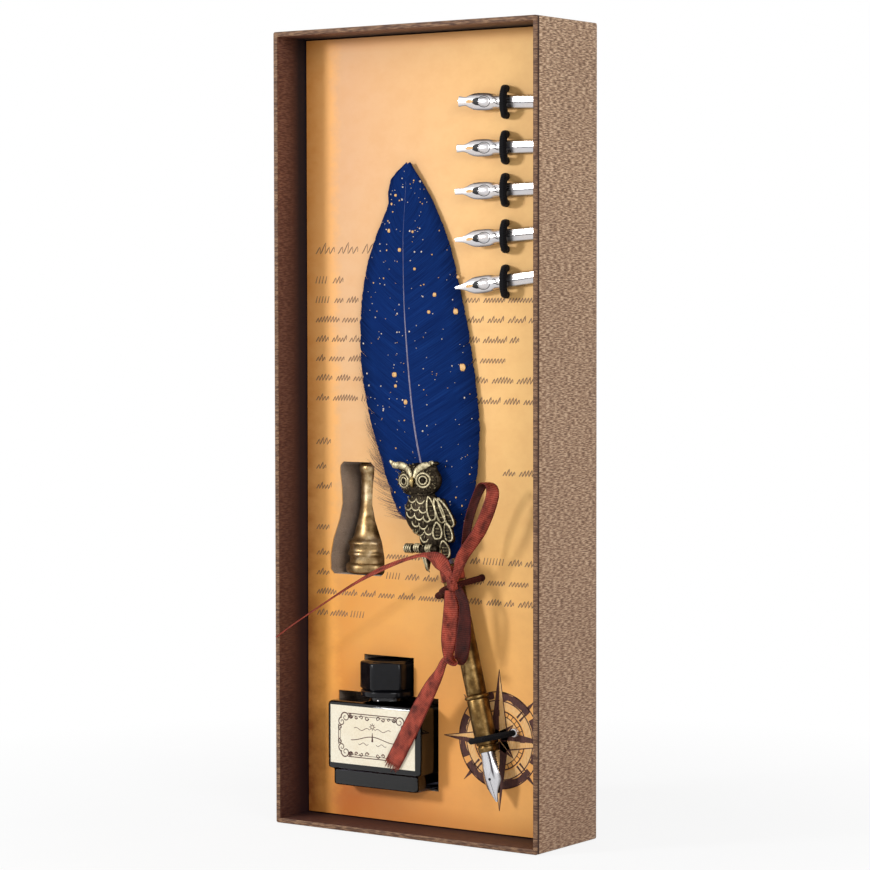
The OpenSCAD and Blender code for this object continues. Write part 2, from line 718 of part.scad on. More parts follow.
back_board();
side_board(-1);  // left_board
side_board(1);  // right_board
end_board(box_height - wrap_thick - board_thick);  // top_board
end_board(wrap_thick);  // bottom_board
cover_back();
cover_side(-1);  // cover_left
cover_side(1);  // cover_right
cover_end(box_height - wrap_thick);  // cover_top
cover_end(0);  // cover_bottom
rim_paper();
wall_lining();
foam_insert();
printed_card();
nib_loops();
pen_lower_loop();
loop_crimp();
pen_upper_tie();
pen_barrel();
pen_collar();
pen_grip();
pen_nib();
nib_feed();
feather_quill();
feather_vane(-1, left_reach, left_edge_h);  // feather_vane_left
feather_vane(1, right_reach, right_edge_h);  // feather_vane_right
owl_charm();
ribbon_wrap();
ribbon_knot();
bow_upper_loop();
bow_lower_loop();
ribbon_left_tail();
ribbon_lower_tail();
pen_stand();
bottle_glass();
ink();
bottle_label();
bottle_cap();
cap_liner();
spare_nib(0);  // spare_nib_1
spare_nib(1);  // spare_nib_2
spare_nib(2);  // spare_nib_3
spare_nib(3);  // spare_nib_4
spare_nib(4);  // spare_nib_5
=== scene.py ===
import random
from math import asin, cos, exp, pi, radians, sin, sqrt, tan

import bmesh
import bpy
from mathutils import Matrix, Vector


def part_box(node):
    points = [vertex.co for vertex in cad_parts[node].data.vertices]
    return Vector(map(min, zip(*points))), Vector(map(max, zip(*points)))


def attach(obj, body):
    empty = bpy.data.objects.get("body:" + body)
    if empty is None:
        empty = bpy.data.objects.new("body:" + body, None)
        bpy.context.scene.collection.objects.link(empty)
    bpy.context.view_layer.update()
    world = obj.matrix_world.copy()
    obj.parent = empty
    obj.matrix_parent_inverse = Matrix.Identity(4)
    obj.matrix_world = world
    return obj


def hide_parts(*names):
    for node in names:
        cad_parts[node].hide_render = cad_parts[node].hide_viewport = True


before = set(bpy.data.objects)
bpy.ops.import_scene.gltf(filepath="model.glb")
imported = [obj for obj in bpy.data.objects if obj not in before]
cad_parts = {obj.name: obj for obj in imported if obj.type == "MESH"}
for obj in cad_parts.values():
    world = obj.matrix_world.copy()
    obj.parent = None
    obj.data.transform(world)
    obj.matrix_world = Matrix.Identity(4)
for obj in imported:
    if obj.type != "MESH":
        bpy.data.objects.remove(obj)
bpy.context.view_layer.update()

# Sizes are in millimetres, the box's own frame, and become metres in Build.piece
MM = 0.001
INWARD = Vector((0, 1, 0))
UPWARD = Vector((0, 0, 1))
RIGHTWARD = Vector((1, 0, 0))
CARD_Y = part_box("printed_card")[0].y / MM
RIM_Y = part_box("cover_left")[0].y / MM
BACK_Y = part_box("cover_back")[1].y / MM
BOX_W = (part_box("cover_right")[1].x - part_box("cover_left")[0].x) / MM
BOX_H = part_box("cover_top")[1].z / MM


def at(x, h, z):
    """Point given by x, height over the card towards the viewer, and z."""
    return Vector((x, CARD_Y - h, z))


# Camera, as fitted to the box's corners in the photograph
CAMERA_TURN = radians(35.231)
CAMERA_RISE = radians(2.629)
CAMERA_ROLL = radians(-0.087)
CAMERA_DISTANCE = 1.10976
CAMERA_TARGET = Vector((0.000824, 0.0, 0.148702))
CAMERA_LENS = 123.04
CAMERA_SENSOR = 36.0
CAMERA_CLIP = 0.01


def make_camera():
    data = bpy.data.cameras.new("camera")
    data.lens = CAMERA_LENS
    data.sensor_width = CAMERA_SENSOR
    data.clip_start = CAMERA_CLIP
    camera = bpy.data.objects.new("camera", data)
    bpy.context.scene.collection.objects.link(camera)
    level = cos(CAMERA_RISE)
    out = Vector((sin(CAMERA_TURN) * level, -cos(CAMERA_TURN) * level, sin(CAMERA_RISE)))
    turn = (-out).to_track_quat("-Z", "Y").to_matrix().to_4x4()
    roll = Matrix.Rotation(CAMERA_ROLL, 4, "Z")
    camera.matrix_world = Matrix.Translation(CAMERA_TARGET + CAMERA_DISTANCE * out) @ turn @ roll
    bpy.context.scene.camera = camera


make_camera()


# Curves and numbers
def mix(a, b, t):
    return a + (b - a) * t


def smooth_step(t):
    t = min(max(t, 0.0), 1.0)
    return t * t * (3 - 2 * t)


def look_up(table, t):
    """Value at t on straight stretches between (t, value) pairs."""
    for (t0, a), (t1, b) in zip(table, table[1:]):
        if t <= t1:
            return mix(a, b, min(max((t - t0) / (t1 - t0), 0.0), 1.0))
    return table[-1][1]


def flowing(points, steps):
    """Smooth curve through the points, with that many steps between each two."""
    line = []
    last = len(points) - 1
    for i in range(last):
        p0, p1 = points[max(i - 1, 0)], points[i]
        p2, p3 = points[i + 1], points[min(i + 2, last)]
        for k in range(steps):
            t = k / steps
            line.append(0.5 * (2 * p1 + (p2 - p0) * t + (2 * p0 - 5 * p1 + 4 * p2 - p3) * t * t
                               + (3 * p1 - p0 - 3 * p2 + p3) * t * t * t))
    return line + [points[-1].copy()]


def flowing_values(values, steps):
    return [v.x for v in flowing([Vector((v, 0, 0)) for v in values], steps)]


def tangents(line):
    last = len(line) - 1
    return [(line[min(i + 1, last)] - line[max(i - 1, 0)]).normalized() for i in range(last + 1)]


def circle(count):
    """Angles of that many even steps round a circle."""
    return [2 * pi * k / count for k in range(count)]


def value_at(values, i):
    """The i-th value where there is a list of them, or else the one value."""
    return values[i] if isinstance(values, (list, tuple)) else values


# Meshes
class Build:
    """Collects one piece's vertices and faces, with a material for each face and two marks."""

    def __init__(self):
        self.points, self.faces, self.kinds, self.marks = [], [], [], []

    def add(self, points, faces, kind=0, marks=None):
        first = len(self.points)
        self.points += [Vector(p) for p in points]
        self.marks += marks if marks else [(0.0, 0.0)] * len(points)
        self.faces += [tuple(first + i for i in face) for face in faces]
        self.kinds += [kind] * len(faces)

    def rings(self, rings, kind=0, closed=False, marks=None):
        """Skin over rings of the same count, closed with a cap at each end or into a loop."""
        count, total = len(rings[0]), len(rings)
        faces = []
        for i in range(total if closed else total - 1):
            low, high = i * count, (i + 1) % total * count
            for k in range(count):
                n = (k + 1) % count
                faces.append((low + k, low + n, high + n, high + k))
        if not closed:
            faces.append(tuple(reversed(range(count))))
            faces.append(tuple((total - 1) * count + k for k in range(count)))
        self.add([p for ring in rings for p in ring], faces, kind, marks)

    def tube(self, line, radii, kind=0, sides=10, hint=INWARD, closed=False, flat=1.0):
        """Round tube along a line, thinner by flat across the hint's direction."""
        rings, marks = [], []
        along = 0.0
        steps = tangents(line)
        if closed:
            steps[0] = steps[-1] = (line[1] - line[-1]).normalized()
        for i, (p, t) in enumerate(zip(line, steps)):
            side = t.cross(hint).normalized()
            front = side.cross(t).normalized()
            along += (p - line[i - 1]).length if i else 0.0
            r = value_at(radii, i)
            rings.append([p + r * (cos(a) * side + flat * sin(a) * front) for a in circle(sides)])
            marks += [(along, k / sides) for k in range(sides)]
        self.rings(rings, kind, closed, marks)

    def lathe(self, profile, centre, axis=UPWARD, across=RIGHTWARD, sides=64, kind=0):
        """Turned shape: profile of (radius, height) pairs round an axis, closed at both ends."""
        front = axis.cross(across)
        self.rings([[centre + axis * z + max(r, 0.001) * (cos(a) * across + sin(a) * front)
                     for a in circle(sides)] for r, z in profile], kind)

    def ball(self, centre, radii, kind=0, rows=10, sides=16):
        """Ellipsoid with half axes along x, y and z."""
        x, y, z = radii
        self.rings([[centre + Vector((x * sin(a) * cos(b), y * sin(a) * sin(b), -z * cos(a)))
                     for b in circle(sides)] for a in (pi * i / rows for i in range(1, rows))], kind)

    def slab(self, front, back, kind=0, marks=None):
        """Closed sheet between two grids of the same size."""
        rows, columns = len(front), len(front[0])
        half = rows * columns
        faces = []
        for i in range(rows - 1):
            for j in range(columns - 1):
                a, b = i * columns + j, (i + 1) * columns + j
                faces.append((a, a + 1, b + 1, b))
                faces.append((half + a, half + b, half + b + 1, half + a + 1))
        edge = list(range(columns))
        edge += [i * columns + columns - 1 for i in range(1, rows)]
        edge += [(rows - 1) * columns + j for j in range(columns - 2, -1, -1)]
        edge += [i * columns for i in range(rows - 2, 0, -1)]
        for a, b in zip(edge, edge[1:] + edge[:1]):
            faces.append((b, a, half + a, half + b))
        self.add([p for row in front + back for p in row], faces, kind, marks * 2 if marks else None)

    def sheet(self, rows, lay, kind=0):
        """Closed sheet from a grid to the same grid moved by lay."""
        self.slab(rows, [[p + lay for p in row] for row in rows], kind)

    def piece(self, name, materials, smooth=True, sharp=None):
        """Mesh object in metres, with its marks kept as attributes for the materials."""
        mesh = bpy.data.meshes.new(name)
        mesh.from_pydata([p * MM for p in self.points], [], self.faces)
        for material in materials:
            mesh.materials.append(material)
        mesh.polygons.foreach_set("material_index", self.kinds)
        for column, title in enumerate(("along", "across")):
            values = mesh.attributes.new(title, "FLOAT", "POINT")
            values.data.foreach_set("value", [m[column] for m in self.marks])
        mesh.validate()
        builder = bmesh.new()
        builder.from_mesh(mesh)
        bmesh.ops.recalc_face_normals(builder, faces=builder.faces)
        builder.to_mesh(mesh)
        builder.free()
        mesh.polygons.foreach_set("use_smooth", [smooth] * len(mesh.polygons))
        if smooth and sharp:
            mesh.set_sharp_from_angle(angle=radians(sharp))
        piece = bpy.data.objects.new(name, mesh)
        bpy.context.scene.collection.objects.link(piece)
        return piece


# Materials
SOCKETS = {"colour": "Base Color", "rough": "Roughness", "metal": "Metallic", "ior": "IOR",
           "sheen": "Sheen Weight", "sheen_rough": "Sheen Roughness", "clear": "Transmission Weight",
           "gloss": "Specular IOR Level"}


def tone(r, g, b):
    """Linear colour from screen values of 0 to 255."""
    return tuple(c / 12.92 if c <= 0.04045 else ((c + 0.055) / 1.055) ** 2.4
                 for c in (r / 255, g / 255, b / 255)) + (1.0,)


class Paint:
    """One procedural material, built node by node. Colours are given as screen values of 0 to 255."""

    def __init__(self, name, **values):
        self.material = bpy.data.materials.new(name)
        self.material.use_nodes = True
        self.tree = self.material.node_tree
        self.shader = self.tree.nodes["Principled BSDF"]
        self.place = self.node("TexCoord").outputs["Object"]
        self.last_bump = self.colour = self.grain = None
        for key, value in values.items():
            self.set(key, value)

    def set(self, key, value):
        self.feed(self.shader.inputs[SOCKETS[key]], value)

    def feed(self, socket, value):
        if isinstance(value, bpy.types.NodeSocket):
            self.tree.links.new(value, socket)
        else:
            socket.default_value = value

    def node(self, kind, inputs=None, **settings):
        node = self.tree.nodes.new("ShaderNode" + kind)
        for key, value in settings.items():
            setattr(node, key, value)
        for key, value in (inputs or {}).items():
            self.feed(node.inputs[key], value)
        return node

    def scaled(self, x=1.0, y=1.0, z=1.0):
        """Place on the object, each axis in that many units per millimetre."""
        scale = (x / MM, y / MM, z / MM)
        return self.node("Mapping", {"Vector": self.place, "Scale": scale}).outputs["Vector"]

    def coordinate(self, index):
        """Place along x, y or z in millimetres."""
        return self.node("SeparateXYZ", {"Vector": self.scaled()}).outputs[index]

    def mark(self, title):
        return self.node("Attribute", attribute_name=title).outputs["Fac"]

    def marks(self, along, across):
        """Vector of a piece's two marks, each times a scale."""
        return self.node("CombineXYZ", {"X": self.times(self.mark("along"), along),
                                        "Y": self.times(self.mark("across"), across)}).outputs[0]

    def noise(self, scale=1.0, detail=2.0, harsh=0.5, vector=None):
        """Noise with that many grains per millimetre, one number or one for each axis, or on a vector."""
        vector = vector or self.scaled(*(scale if isinstance(scale, tuple) else (scale,) * 3))
        return self.node("TexNoise", {"Vector": vector, "Scale": 1.0, "Detail": detail,
                                      "Roughness": harsh}).outputs["Fac"]

    def math(self, operation, a, b=0.0):
        return self.node("Math", {0: a, 1: b}, operation=operation).outputs[0]

    def times(self, a, b):
        return self.math("MULTIPLY", a, b)

    def plus(self, a, b):
        return self.math("ADD", a, b)

    def spread(self, value, low, high, to_low=0.0, to_high=1.0):
        return self.node("MapRange", {"Value": value, "From Min": low, "From Max": high,
                                      "To Min": to_low, "To Max": to_high}).outputs["Result"]

    def wave(self, value, period):
        """Swings between 0 and 1 once in each period of the value."""
        return self.spread(self.math("SINE", self.times(value, 2 * pi / period)), -1.0, 1.0)

    def ramp(self, value, *stops):
        """Colour along a value, each stop a position and its colour."""
        node = self.node("ValToRGB", {"Fac": value})
        elements = node.color_ramp.elements
        for element, (position, *screen) in zip(elements, (stops[0], stops[-1])):
            element.position = position
            element.color = tone(*screen)
        for position, *screen in stops[1:-1]:
            elements.new(position).color = tone(*screen)
        return node.outputs["Color"]

    def mixed(self, share, a, b):
        return self.node("Mix", {0: share, 6: a, 7: b}, data_type="RGBA").outputs[2]

    def wash(self, share, screen):
        """Lays a colour over what is there, by that share."""
        self.colour = self.mixed(share, self.colour, tone(*screen))
        return self

    def bump(self, height, depth):
        """Adds a bump of that depth in millimetres on top of those before it."""
        node = self.node("Bump", {"Height": height, "Strength": 1.0, "Distance": depth * MM})
        if self.last_bump:
            self.tree.links.new(self.last_bump, node.inputs["Normal"])
        self.last_bump = node.outputs["Normal"]
        self.tree.links.new(self.last_bump, self.shader.inputs["Normal"])
        return self

    def finished(self):
        self.set("colour", self.colour)
        return self.material


def grained(name, scale, detail, harsh, dark, light, ends=(0.3, 0.7), depth=None, **values):
    """Paint of one grain that runs from a dark to a light colour, with a bump of that depth."""
    paint = Paint(name, **values)
    paint.grain = paint.noise(scale, detail, harsh)
    paint.colour = paint.ramp(paint.grain, (ends[0], *dark), (ends[1], *light))
    return paint.bump(paint.grain, depth) if depth else paint


def woven_paper(name, dark, mid, light, coarse, depth=0.05):
    """Bookbinder's paper with short threads that run sideways on every face."""
    paint = Paint(name, rough=0.62, gloss=0.3)
    long, fine = 0.42 * coarse, 2.6 * coarse
    upright = paint.noise((long, long, fine), 1.0)
    lying = paint.noise((long, fine, fine), 1.0)
    normal = paint.node("TexCoord").outputs["Normal"]
    level = paint.math("ABSOLUTE", paint.node("SeparateXYZ", {"Vector": normal}).outputs[2])
    level = paint.spread(level, 0.6, 0.8)
    threads = paint.plus(paint.times(lying, level), paint.times(upright, paint.math("SUBTRACT", 1.0, level)))
    woven = paint.plus(paint.times(threads, 0.8), paint.times(paint.noise((0.5, 0.5, 0.8), 3.0), 0.2))
    paint.colour = paint.ramp(woven, (0.38, *dark), (0.5, *mid), (0.62, *light))
    paint.wash(paint.spread(paint.noise(0.03, 3.0), 0.3, 0.7, 0.0, 0.16), dark)
    return paint.bump(woven, depth)


def make_cover():
    """Outside paper, with painted shade that makes it a little darker low down."""
    paint = woven_paper("cover_paper", (118, 90, 70), (172, 138, 110), (226, 194, 162), 1.0, 0.04)
    # Painted shade: darker towards the bottom of the box
    return paint.wash(paint.spread(paint.coordinate(2), 0.0, 300.0, 0.34, 0.0), (120, 84, 66)).finished()


def make_rim():
    """Cover paper folded over the rim, with its threads seen end on, in darker tones as painted shade on the
    rim.
    """
    paint = woven_paper("cover_rim", (76, 50, 36), (116, 84, 62), (154, 120, 90), 0.8)
    notches = paint.wave(paint.plus(paint.coordinate(0), paint.coordinate(2)), 0.85)
    return paint.wash(paint.times(notches, 0.45), (78, 50, 34)).finished()


def make_lining():
    """Wall paper, with painted shade that deepens away from the rim and low down, and a near-black band next
    to the card.
    """
    paint = woven_paper("lining_paper", (78, 46, 38), (102, 66, 54), (124, 86, 70), 1.0)
    y = paint.coordinate(1)
    # Painted shade: darker deeper into the box
    paint.wash(paint.spread(y, -17.0, -10.0, 0.0, 0.75), (60, 32, 26))
    paint.wash(paint.spread(y, -10.5, -6.5), (26, 18, 24))
    # Painted shade: darker low down
    return paint.wash(paint.spread(paint.coordinate(2), 0.0, 240.0, 0.5, 0.0), (52, 22, 22)).finished()


def make_foam():
    paint = grained("foam", 5.0, 3.0, 0.6, (124, 104, 88), (196, 170, 146), (0.36, 0.64), 0.14, rough=0.95,
                    sheen=0.25, sheen_rough=0.6, gloss=0.15)
    return paint.wash(paint.spread(paint.noise(0.12), 0.35, 0.75, 0.0, 0.4), (86, 62, 46)).finished()


def make_card():
    """Printed parchment: light at the top, orange lower down, scorched along the left and the ends."""
    paint = Paint("card_print", rough=0.55, gloss=0.32)
    x, z = paint.coordinate(0), paint.coordinate(2)
    blotch = paint.noise((0.022, 0.022, 0.03), 3.0, 0.6)
    mottle = paint.noise((0.12, 0.12, 0.16), 4.0, 0.65)
    drift = paint.plus(z, paint.spread(blotch, 0.3, 0.7, -16.0, 16.0))
    down = paint.ramp(paint.spread(drift, 0.0, 300.0), (0.0, 206, 114, 46), (0.1, 224, 142, 66),
                      (0.2, 226, 146, 60), (0.28, 228, 158, 74), (0.4, 226, 174, 116), (0.6, 226, 180, 132),
                      (0.85, 224, 174, 128), (1.0, 220, 168, 118))
    warm = paint.mixed(paint.spread(z, 40.0, 110.0), tone(255, 188, 104), tone(246, 196, 120))
    paint.colour = paint.mixed(paint.times(paint.spread(x, -36.0, 40.0), 0.85), down, warm)
    wavering = paint.plus(x, paint.spread(mottle, 0.3, 0.7, -2.0, 2.0))
    paint.wash(paint.spread(wavering, -41.0, -46.0, 0.0, 0.6), (252, 178, 84))
    scorch = paint.mixed(paint.spread(z, 20.0, 190.0), tone(126, 54, 16), tone(214, 136, 60))
    paint.colour = paint.mixed(paint.spread(wavering, -49.0, -58.0, 0.0, 0.9), paint.colour, scorch)
    ends = paint.math("MAXIMUM", paint.spread(z, 292.0, 297.0), paint.spread(z, 10.0, 3.0))
    paint.wash(paint.times(ends, 0.42), (206, 122, 44))
    paint.wash(paint.spread(mottle, 0.4, 0.72, 0.0, 0.22), (214, 148, 84))
    return paint.bump(paint.noise(6.0), 0.015).finished()


def make_print(name, dark, light):
    """Printing ink that has sunk into the card unevenly."""
    paint = grained(name, (1.6, 1.6, 0.5), 3.0, 0.6, dark, light, (0.35, 0.7), rough=0.6, gloss=0.25)
    return paint.finished()


def make_brass(name, dark, mid, light):
    """Antique brass: darkened with lighter rubbed places and fine turning marks."""
    paint = Paint(name, metal=1.0)
    rubbed = paint.noise(0.16, 4.0, 0.6)
    paint.colour = paint.ramp(rubbed, (0.34, *dark), (0.52, *mid), (0.7, *light))
    paint.wash(paint.spread(paint.noise(1.4, 3.0, 0.7), 0.58, 0.72, 0.0, 0.6), (64, 48, 26))
    paint.set("rough", paint.spread(rubbed, 0.3, 0.7, 0.42, 0.3))
    return paint.bump(paint.noise((0.8, 0.8, 12.0)), 0.012).finished()


def make_steel(name, bright, rough, grain, place, start, half):
    """Brushed steel with painted shade on its turned-down edges and a painted shade line at that place
    across, from that start along.
    """
    paint = Paint(name, metal=1.0)
    brushed = paint.noise(grain, 3.0, 0.6)
    paint.colour = paint.mixed(paint.spread(brushed, 0.3, 0.7), tone(*bright), tone(206, 206, 210))
    across = paint.mark("across")
    # Painted shade on the edges, where the sheet turns away
    paint.wash(paint.spread(paint.math("ABSOLUTE", across), 0.7, 0.95, 0.0, 0.8), (104, 98, 96))
    # Painted shade line where the nib's faces meet
    off = paint.math("ABSOLUTE", paint.math("SUBTRACT", across, place))
    shank = paint.spread(paint.mark("along"), start, start + 3.0)
    paint.wash(paint.times(paint.spread(off, half, half * 0.4), shank), (74, 70, 74))
    paint.set("rough", paint.spread(brushed, 0.3, 0.7, rough, rough * 1.8))
    return paint.bump(brushed, 0.0015).finished()


def make_feed():
    paint = grained("feed", 1.5, 2.0, 0.5, (12, 12, 14), (28, 28, 31), rough=0.4, gloss=0.2)
    return paint.bump(paint.noise(4.0), 0.01).finished()


def make_braid(name, dark, light):
    """Round braided elastic: threads cross in two slanting sets."""
    paint = Paint(name, rough=0.8, sheen=0.02, gloss=0.1)
    along, lean = paint.mark("along"), paint.times(paint.mark("across"), 2.4)
    sets = [paint.wave(paint.math(way, along, lean), 0.6) for way in ("ADD", "SUBTRACT")]
    braid = paint.math("MAXIMUM", *sets)
    paint.colour = paint.ramp(braid, (0.3, *dark), (1.0, *light))
    return paint.bump(braid, 0.1).finished()


def make_ribbon(name, dark, light, rib_highlight):
    """Satin ribbon with fine ribs across it, soft folds and a bound edge, in patches of painted light and
    shade, with a painted highlight on the ribs.
    """
    paint = Paint(name, rough=0.5, sheen=0.02, sheen_rough=0.35, gloss=0.16)
    ribs = paint.wave(paint.mark("along"), 0.75)
    threads = paint.noise(vector=paint.marks(2.6, 9.0), detail=3.0)
    shade = paint.noise(vector=paint.marks(0.18, 0.8), detail=4.0, harsh=0.6)
    folds = paint.noise(vector=paint.marks(0.16, 0.5))
    # Painted light and shade: the colour runs from dark to light in patches
    paint.colour = paint.ramp(shade, (0.34, *dark), (0.66, *light))
    # Painted highlight on the ribs, brighter in the lit patches
    paint.wash(paint.times(ribs, paint.spread(shade, 0.36, 0.62, 0.12, 0.5)), rib_highlight)
    paint.wash(paint.spread(threads, 0.5, 0.7, 0.0, 0.6), (64, 16, 13))
    edge = paint.spread(paint.math("ABSOLUTE", paint.mark("across")), 0.86, 0.93)
    paint.wash(paint.times(edge, 0.6), (88, 18, 22))
    return paint.bump(ribs, 0.07).bump(threads, 0.06).bump(folds, 0.5).finished()


def make_glass():
    paint = Paint("bottle_glass", rough=0.02, ior=1.5, clear=1.0)
    paint.colour = tone(44, 44, 52)
    return paint.bump(paint.noise(0.12), 0.12).finished()


def make_label():
    paint = grained("label", 2.0, 4.0, 0.6, (226, 216, 192), (242, 236, 218), depth=0.02, rough=0.5,
                    gloss=0.35)
    return paint.wash(paint.spread(paint.noise(0.07), 0.4, 0.7, 0.0, 0.35), (224, 206, 170)).finished()


def make_cap():
    paint = grained("cap", 0.2, 4.0, 0.6, (9, 9, 12), (18, 18, 22), gloss=0.22)
    paint.set("rough", paint.spread(paint.grain, 0.3, 0.7, 0.12, 0.24))
    return paint.bump(paint.noise(3.0), 0.006).finished()


def make_feather():
    """Dyed vane: barbs as fine streaks, darker towards the edges and in patches."""
    paint = Paint("feather", rough=0.7, gloss=0.03)
    barbs = paint.noise(vector=paint.marks(5.0, 1.6), detail=3.0, harsh=0.6)
    locks = paint.noise(vector=paint.marks(0.5, 0.9), detail=3.0)
    paint.colour = paint.ramp(barbs, (0.3, 5, 24, 70), (0.5, 10, 38, 92), (0.72, 24, 58, 120))
    paint.wash(paint.spread(locks, 0.45, 0.75, 0.0, 0.55), (6, 24, 68))
    paint.wash(paint.spread(paint.noise(0.03), 0.4, 0.7, 0.0, 0.4), (12, 42, 104))
    paint.wash(paint.spread(paint.mark("across"), 0.72, 1.0, 0.0, 0.6), (5, 16, 48))
    return paint.bump(barbs, 0.09).bump(locks, 0.18).finished()


def make_quill():
    """Shaft: bare and lilac-grey low down, dyed towards the tip."""
    paint = grained("quill", (3.0, 3.0, 0.25), 3.0, 0.5, (78, 72, 100), (136, 128, 152), depth=0.03,
                    rough=0.38, gloss=0.5)
    dyed = paint.ramp(paint.grain, (0.3, 8, 26, 76), (0.7, 20, 46, 112))
    paint.colour = paint.mixed(paint.spread(paint.coordinate(2), 186.0, 226.0), paint.colour, dyed)
    return paint.finished()


def make_flake(name, dark, light):
    return grained(name, 2.2, 3.0, 0.7, dark, light, (0.35, 0.65), 0.08, rough=0.42, gloss=0.5).finished()


def make_cast(name, dark, light, low=0.42, high=0.55):
    """Cast metal, dark in the grain and rubbed where it is smooth."""
    paint = grained(name, 1.1, 4.0, 0.65, dark, light, (0.36, 0.64), 0.05, metal=1.0)
    paint.set("rough", paint.spread(paint.grain, 0.3, 0.7, low, high))
    return paint.finished()


COVER, RIM, LINING, FOAM, CARD = make_cover(), make_rim(), make_lining(), make_foam(), make_card()
# Painted shade: a near-black copy of the cover paper for the groove behind the rim
FOLD_SHADE = woven_paper("cover_fold_shade", (34, 20, 14), (56, 32, 22), (80, 50, 34), 1.4).finished()
GREYBOARD = grained("greyboard", (1.2, 1.2, 2.4), 4.0, 0.65, (96, 90, 82), (150, 143, 133), (0.35, 0.65),
                    0.08, rough=0.85).finished()
SCRIPT_INK = make_print("script_ink", (118, 88, 66), (150, 116, 88))
ROSE_INK = make_print("rose_ink", (66, 40, 38), (100, 62, 52))
PALE_INK = make_print("pale_ink", (236, 178, 108), (250, 206, 146))
BRASS = make_brass("antique_brass", (58, 40, 21), (104, 79, 44), (164, 136, 88))
STAND_BRASS = make_brass("stand_brass", (98, 76, 46), (164, 136, 96), (226, 204, 166))
FEED = make_feed()
RIBBON = make_ribbon("ribbon", (62, 16, 11), (164, 60, 43), (200, 108, 86))
# Painted shade: a darker copy of the ribbon for the inside of the loops
REVERSE_SHADE = make_ribbon("ribbon_reverse_shade", (30, 9, 7), (72, 26, 20), (96, 42, 34))
NIB_STEEL = make_steel("nib_steel", (208, 206, 208), 0.2, (6.0, 6.0, 0.6), 0.45, 10.0, 0.12)
SPARE_STEEL = make_steel("spare_steel", (216, 208, 204), 0.22, (0.1, 0.5, 0.5), -0.14, 18.0, 0.07)
ELASTIC = make_braid("elastic", (6, 6, 7), (26, 25, 28))
TIE = make_braid("tie", (30, 10, 8), (84, 34, 26))
GLASS, LABEL, CAP, FEATHER, QUILL = make_glass(), make_label(), make_cap(), make_feather(), make_quill()
INK = grained("ink", 0.08, 3.0, 0.5, (6, 6, 10), (12, 11, 18), rough=0.1, gloss=0.5).finished()
LINER = grained("liner", 3.0, 3.0, 0.5, (214, 212, 204), (236, 234, 228), depth=0.03, rough=0.6).finished()
DOWN = grained("down", 2.0, 2.0, 0.5, (70, 50, 54), (124, 96, 88), rough=0.8).finished()
GOLD_FLAKE = make_flake("gold_flake", (196, 142, 76), (232, 186, 118))
PALE_FLAKE = make_flake("pale_flake", (176, 164, 160), (232, 216, 196))
OWL_DARK = make_cast("owl_dark", (24, 20, 16), (66, 57, 45))
OWL_LIGHT = make_cast("owl_light", (136, 126, 100), (206, 194, 160))
OWL_MID = make_cast("owl_mid", (70, 62, 48), (138, 126, 98), 0.4)
OWL_BRASS = make_cast("owl_brass", (128, 108, 66), (188, 166, 116), 0.3, 0.42)


def settle(piece, body, slot, *nodes):
    """The piece rides on a body and stands for CAD nodes, which it hides. The slot is not used."""
    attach(piece, body)
    if nodes:
        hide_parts(*nodes)


def dress(material, *nodes):
    """Gives CAD nodes that stay as they are a material."""
    for name in nodes:
        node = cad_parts[name]
        if not node.material_slots:
            node.data.materials.append(material)
        for holder in node.material_slots:
            holder.material = material


# Pen frame: u to the right, v into the card, s up the pen from the nib's point
PEN_TIP = at(34.95, 5.1, 13.4)
PEN_LEAN = radians(14)
PEN_AXIS = Vector((-sin(PEN_LEAN), 0, cos(PEN_LEAN)))
PEN_RIGHT = Vector((cos(PEN_LEAN), 0, sin(PEN_LEAN)))


def on_pen(u, v, s):
    return PEN_TIP + PEN_RIGHT * u + INWARD * v + PEN_AXIS * s


# Ribbon: flat lengths that leave the knot, each on the line of its solid
RIBBON_THICK = 0.36
RIBBON_STEPS = 9
RIBBON_COLUMNS = 8


def square_to(direction, hint):
    """The hint's direction as far as it stands square to the other."""
    return (hint - hint.dot(direction) * direction).normalized()


def fray_end(build, middle, across, face, onward, half, count):
    """Loose threads of many lengths at the ribbon's cut end."""
    draw = random.Random(16)
    for k in range(count):
        start = middle + across * half * mix(-1, 1, (k + 0.5) / count)
        reach = draw.uniform(0.8, 3.6)
        sway = across * draw.uniform(-0.5, 0.5) + face * draw.uniform(-0.3, 0.3)
        thread = [start - onward * 0.4, start + onward * reach * 0.5 + sway * 0.4,
                  start + onward * reach + sway]
        build.tube(thread, [0.17, 0.14, 0.06], sides=5)


def ribbon_length(name, node, body, route, halves, moves, hints, far_end, crown=0.3, fray=0):
    """Flat ribbon with its half widths, its shift (x, height) from the route and its width's direction."""
    line = flowing([at(*p) for p in route], RIBBON_STEPS)
    wide = flowing_values(halves, RIBBON_STEPS)
    shift = flowing([Vector((x, -h, 0)) for x, h in moves], RIBBON_STEPS)
    turned = flowing([Vector(h) for h in hints], RIBBON_STEPS)
    middle = [p + move for p, move in zip(line, shift)]
    front, back, marks = [], [], []
    along = 0.0
    for i, (p, t) in enumerate(zip(middle, tangents(middle))):
        across = square_to(t, turned[i])
        face = t.cross(across).normalized()
        along += (line[i] - line[i - 1]).length if i else 0.0
        shares = [2 * k / RIBBON_COLUMNS - 1 for k in range(RIBBON_COLUMNS + 1)]
        row = [p + across * wide[i] * u + face * crown * (0.6 - u * u) for u in shares]
        front.append([point + face * RIBBON_THICK / 2 for point in row])
        back.append([point - face * RIBBON_THICK / 2 for point in row])
        marks += [(along, u) for u in shares]
    build = Build()
    build.slab(front, back, 0, marks)
    # Every other face of a slab is on its back
    for k in range(1, 2 * (len(front) - 1) * RIBBON_COLUMNS, 2):
        build.kinds[k] = 1
    fray_end(build, middle[-1], across, face, t, wide[-1], fray)
    # Loops take the darker copy on their back faces, painted shade inside the loop; tails keep one colour
    piece = build.piece(name, [RIBBON, REVERSE_SHADE if far_end == "object" else RIBBON])
    settle(piece, body, "ribbon", node)


